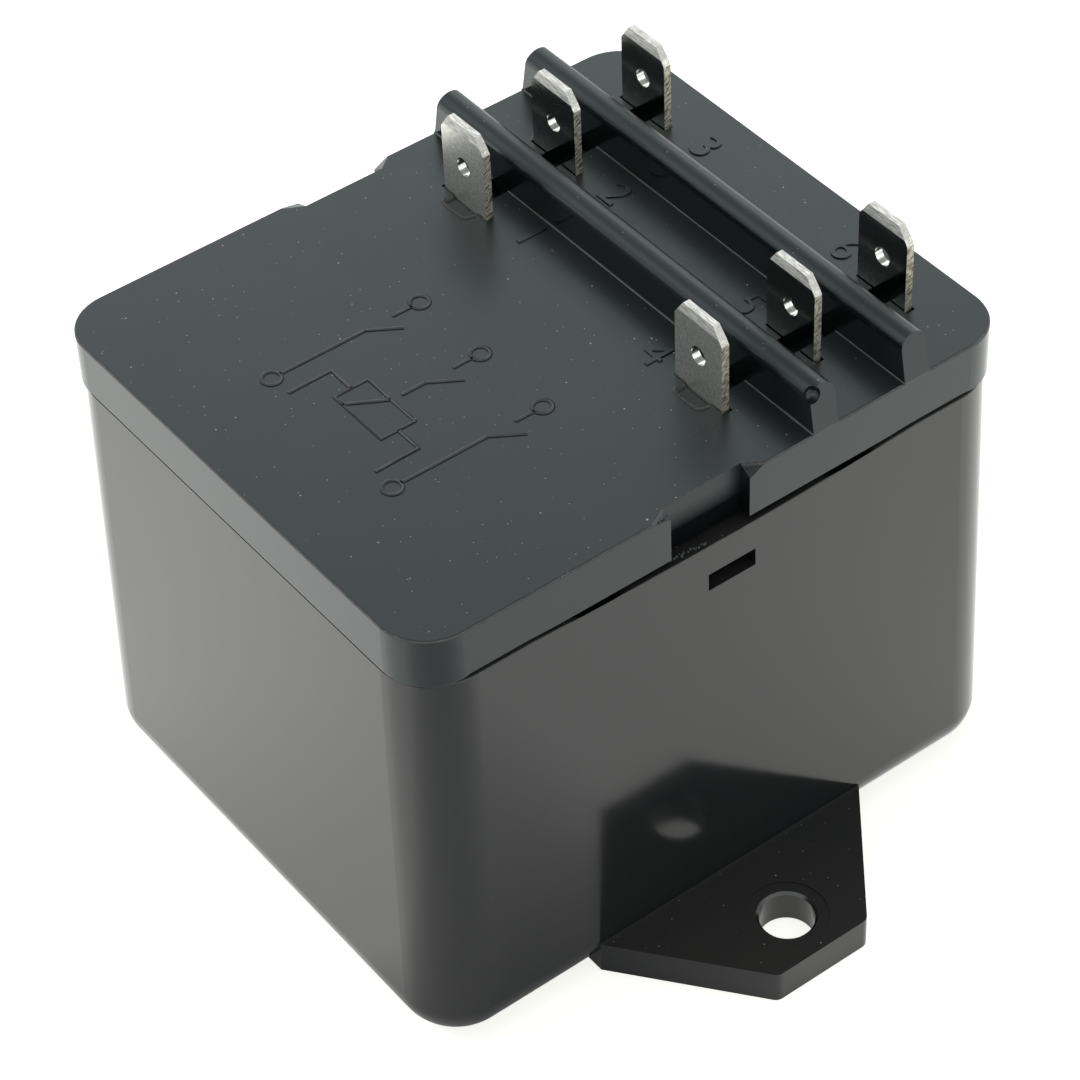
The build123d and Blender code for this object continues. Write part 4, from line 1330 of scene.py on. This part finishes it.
@dataclass(frozen=True)
class Lid(SubAssembly):
    """The clipped lid: raised marks, lips around the dishes and torn edges at the pry notches."""

    nodes: ClassVar[tuple[str, ...]] = ("lid",)
    height: float = 5.3
    half_x: float = 27.3
    half_y: float = 32.5
    notch_in: float = 1.29
    notch_low: float = -6.025
    notch_high: float = 2.545
    number_height: float = 3.4
    type_size: float = 1.4
    number_rise: float = 0.08
    number_round: float = 0.05
    number_sink: float = 0.1
    number_same: float = 0.001
    number_places: tuple[Flat, ...] = (
        (-9.41, 7.19), (-9.12, 16.76), (-9.22, 27.48), (10.57, 5.68), (10.58, 16.21),
        (10.28, 27.77),
    )
    diagram: Ridges = Ridges("lid_diagram", 0.36, 0.18, 0.07)
    diagram_middle: Flat = (0.7, -14.0)
    pole_pitch: float = 9.0
    ring_radius: float = 0.9
    ring_steps: int = 20
    top_row: float = 8.0
    low_row: float = -8.0
    contact_row: float = 3.4
    contact_gap: Flat = (-1.4, 1.6)
    contact_lean: Flat = (1.9, 1.5)
    coil_width: float = 7.0
    coil_height: float = 3.6
    coil_row: float = -3.4
    coil_slash: Flat = (1.2, 3.4)
    coil_reach: float = 0.72
    link_gap: float = 1.1
    lips: Ridges = Ridges("dish_lips", 0.34, 0.08, 0.04)
    dish_tabs: ClassVar[tuple[str, ...]] = ("terminal_1", "terminal_4")
    dish_lip: tuple[Flat, ...] = (
        (-1.85, -1.45), (-1.6, -1.84), (-0.2, -1.92), (1.45, -1.84), (1.75, -1.5), (2.0, -0.7),
    )
    notch_crumbs: Crumbs = Crumbs("notch_crumbs", 0.13, 0.16, 0.1)
    notch_bead: Crumbs = Crumbs("notch_bead", 0.075, 0.08, 0.035, seed=3)
    edge_crumbs: Crumbs = Crumbs("edge_crumbs", 0.06, 0.3, 0.05, seed=11, smallest=0.15)

    def top(self) -> float:
        """Height of the lid's top, in mm."""
        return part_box("case")[1].z / MM + self.height

    def build(self) -> None:
        """Adds the numbers, the diagram, the lips and the crumbs."""
        self.numbers()
        top = self.top()
        middle_x, middle_y = self.diagram_middle
        self.diagram.build(
            [[(middle_x + x, middle_y + y) for x, y in line] for line in self.strokes()], top
        )
        lips: list[list[Flat]] = []
        for tab in self.dish_tabs:
            low, high = (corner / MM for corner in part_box(tab))
            x, y = (low.x + high.x) / 2, (low.y + high.y) / 2
            lips.append([(x + dx, y + dy) for dx, dy in self.dish_lip])
        self.lips.build(lips, top)
        self.torn_edges(top)

    def numbers(self) -> None:
        """Builds plain raised numbers beside the tabs as one piece."""
        joined = bmesh.new()
        for number, (x, y) in enumerate(self.number_places, 1):
            data = bpy.data.curves.new(f"number_{number}", "FONT")
            data.body = str(number)
            data.size = self.number_height * self.type_size * MM
            data.align_x = "CENTER"
            data.align_y = "CENTER"
            data.extrude = (self.number_rise + self.number_sink) / 2 * MM
            data.bevel_depth = self.number_round * MM
            data.bevel_resolution = 1
            data.offset = -self.number_round * MM
            text = linked(data.name, data)
            mesh = plain(text)
            middle = self.top() + (self.number_rise - self.number_sink) / 2
            mesh.transform(Matrix.Translation(Vector((x, y, middle)) * MM))
            joined.from_mesh(mesh)
            bpy.data.objects.remove(text)
        bmesh.ops.remove_doubles(joined, verts=joined.verts, dist=self.number_same * MM)
        bmesh.ops.recalc_face_normals(joined, faces=joined.faces)
        mesh = bpy.data.meshes.new("lid_numbers")
        joined.to_mesh(mesh)
        joined.free()
        mesh.materials.append(dress_of(Slot.LID))
        settle(linked("lid_numbers", mesh))

    def ring(self, x: float, y: float) -> list[Flat]:
        """Draws a terminal's ring.

        Args:
            x: Its middle, in mm.
            y: Its middle, in mm.

        Returns:
            A closed line.
        """
        radius, steps = self.ring_radius, self.ring_steps
        turns = (math.tau * i / steps for i in range(steps + 1))
        return [(x + radius * math.cos(t), y + radius * math.sin(t)) for t in turns]

    def strokes(self) -> list[list[Flat]]:
        """Lists the lines of a plain wiring diagram.

        Returns:
            Lines of points in mm about the diagram's middle.
        """
        edge = self.ring_radius
        foot, head = (self.contact_row + gap for gap in self.contact_gap)
        lean_x, lean_y = self.contact_lean
        left = -self.coil_width / 2
        low, high = (self.coil_row + side * self.coil_height / 2 for side in (-1, 1))
        slash_low, slash_high = self.coil_slash
        lines: list[list[Flat]] = []
        for pole in (-1, 0, 1):
            x = pole * self.pole_pitch
            lines += [
                self.ring(x, self.top_row),
                [(x, self.top_row - edge), (x, head)],
                [(x, foot), (x + lean_x, self.contact_row + lean_y)],
            ]
        lines += [
            [(left, low), (-left, low), (-left, high), (left, high), (left, low)],
            [(left + slash_low, low), (left + slash_high, high)],
        ]
        for side in (-1, 1):
            x = side * self.pole_pitch
            bend = x * self.coil_reach
            lines += [
                [(x, foot), (x, self.low_row + edge)],
                self.ring(x, self.low_row),
                [(-side * left, self.coil_row), (bend, self.coil_row), (bend, self.low_row)],
            ]
        return [*lines, [(0, foot), (0, high + self.link_gap)]]

    def torn_edges(self, top: float) -> None:
        """Strews crumbs where the pry notch at the +X end and the edge beside it are broken.

        Each line is given from the notch's corners and the lid's edge.

        Args:
            top: Height of the lid's top, in mm.
        """
        outer, low, high = self.half_x, self.notch_low, self.notch_high
        inner = outer - self.notch_in
        foot = top - self.height
        facets = [
            ((outer - 0.15, high + 0.1, top - 0.75), (outer - 0.9, high + 0.2, top - 0.25)),
            ((outer - 0.15, high + 0.8, top - 0.4), (outer - 0.5, high + 0.7, top - 0.3)),
            ((outer - 0.1, low - 0.1, top - 0.5), (outer - 0.9, low - 0.1, top - 0.2)),
            ((outer - 0.1, low - 1.3, top - 0.15), (outer - 0.3, low - 0.4, top - 0.3)),
            ((outer - 0.2, low + 0.1, foot), (outer, low + 3.6, foot - 0.15)),
        ]
        beads = [
            ((inner, low, top - 0.02), (inner, high - 2.5, top - 0.02)),
            ((inner, high, top), (outer - 0.2, high + 1.6, top)),
            ((inner, low, top), (outer - 0.2, low - 2.0, top)),
        ]
        edge, crest = outer - 0.06, top - 0.06
        rims = [
            ((edge, 6 - self.half_y, crest), (edge, low - 2.4, crest)),
            ((edge, high + 1.8, crest), (edge, high + 9, crest)),
        ]
        self.notch_crumbs.build(facets)
        self.notch_bead.build(beads)
        self.edge_crumbs.build(rims)


@dataclass(frozen=True)
class Board(SubAssembly):
    """The circuit board and what is soldered to it beside the relay."""

    parts: ClassVar[tuple[str, ...]] = (
        "film_capacitor_1", "film_capacitor_2", "smoothing_capacitor", "bridge_rectifier",
        "dropper_resistor_1", "dropper_resistor_2", "dropper_resistor_3", "surge_disc_1",
        "surge_disc_2", "coil_driver", "signal_resistors",
    )
    nodes: ClassVar[tuple[str, ...]] = ("circuit_board", "board_screws", *parts)
    relay_pins: ClassVar[tuple[str, ...]] = (
        "coil_pins", "common_pin", "make_contact_arm", "break_contact_arm",
    )
    leads: Solder = Solder("lead_solder")
    legs: Solder = Solder("tab_solder", foot=1.5, tip=0.8)

    def build(self) -> None:
        """Solders the leads above the board and the tabs' legs under it."""
        low, high = (corner.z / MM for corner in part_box("circuit_board"))
        for solder, nodes, level, below in (
            (self.leads, self.parts + self.relay_pins, high, False),
            (self.legs, Tabs.nodes, low, True),
        ):
            solder.build(solder.pins(nodes, level, below), level, below)


@dataclass(frozen=True)
class Relay(SubAssembly):
    """The relay under the board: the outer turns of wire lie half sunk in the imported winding."""

    nodes: ClassVar[tuple[str, ...]] = (
        "relay_base", "magnet_frame", "core", "bobbin", "coil_winding", "coil_pins", "common_pin",
        "armature", "moving_blade", "moving_contact", "make_contact_arm", "make_contact",
        "break_contact_arm", "break_contact", "return_spring",
    )
    wire: float = 0.42
    wire_sides: int = 8
    steps: int = 40
    spring_hook: float = 3.1

    def build(self) -> None:
        """Adds the winding's outer turns and a copy of the return spring."""
        self.wind()
        self.stretch()

    def stretch(self) -> None:
        """Puts a plain copy of the return spring in place of the imported one, which is hidden."""
        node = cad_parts["return_spring"]
        piece = linked("spring_wire", node.data.copy())
        piece.data.transform(node.matrix_world)
        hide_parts("return_spring")
        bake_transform(piece)
        LOG.info("%s: stretches between unit and armature", piece.name)

    def wind(self) -> None:
        """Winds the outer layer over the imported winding."""
        low, high = (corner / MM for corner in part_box("coil_winding"))
        centre = (low + high) / 2
        turns = int((high.z - low.z - self.wire) / self.wire)
        foot = Vector((centre.x, centre.y, low.z + self.wire / 2))
        recipe = Recipe("coil_turns")
        wire, around, tall = recipe.lengths(
            {
                "Wire radius": self.wire / 2,
                "Winding radius": (high.x - low.x) / 2,
                "Winding length": turns * self.wire,
            }
        )
        count = recipe.size("Turns", float(turns))
        place = recipe.size("Foot", foot * MM, Socket.PLACE)
        spiral = recipe.add(
            "GeometryNodeCurveSpiral",
            {
                "Resolution": self.steps,
                "Rotations": count,
                "Start Radius": around,
                "End Radius": around,
                "Height": tall,
            },
        )
        profile = recipe.add(
            "GeometryNodeCurvePrimitiveCircle", {"Resolution": self.wire_sides, "Radius": wire}
        )
        swept = recipe.add(
            "GeometryNodeCurveToMesh",
            {"Curve": spiral, "Profile Curve": profile, "Fill Caps": True},
        )
        placed = recipe.add("GeometryNodeTransform", {"Geometry": swept, "Translation": place})
        smooth = recipe.add("GeometryNodeSetShadeSmooth", {"Geometry": placed})
        recipe.bake(bpy.data.meshes.new("coil"), smooth, Slot.WIRE)


def main() -> None:
    """Builds the studio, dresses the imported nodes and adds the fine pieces."""
    logging.basicConfig(level=logging.INFO, format="%(message)s")
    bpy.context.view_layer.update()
    PhotoCamera().build()
    Studio().build()
    parts = (Case(), Lid(), Tabs(), Board(), Relay())
    for part in parts:
        part.dress()
        part.build()
    bare = set(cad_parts) - {name for part in parts for name in part.nodes}
    if bare:
        raise ValueError(f"no sub-assembly dresses {sorted(bare)}")
    bpy.context.scene.view_settings.view_transform = "Standard"


if __name__ == "__main__":
    main()
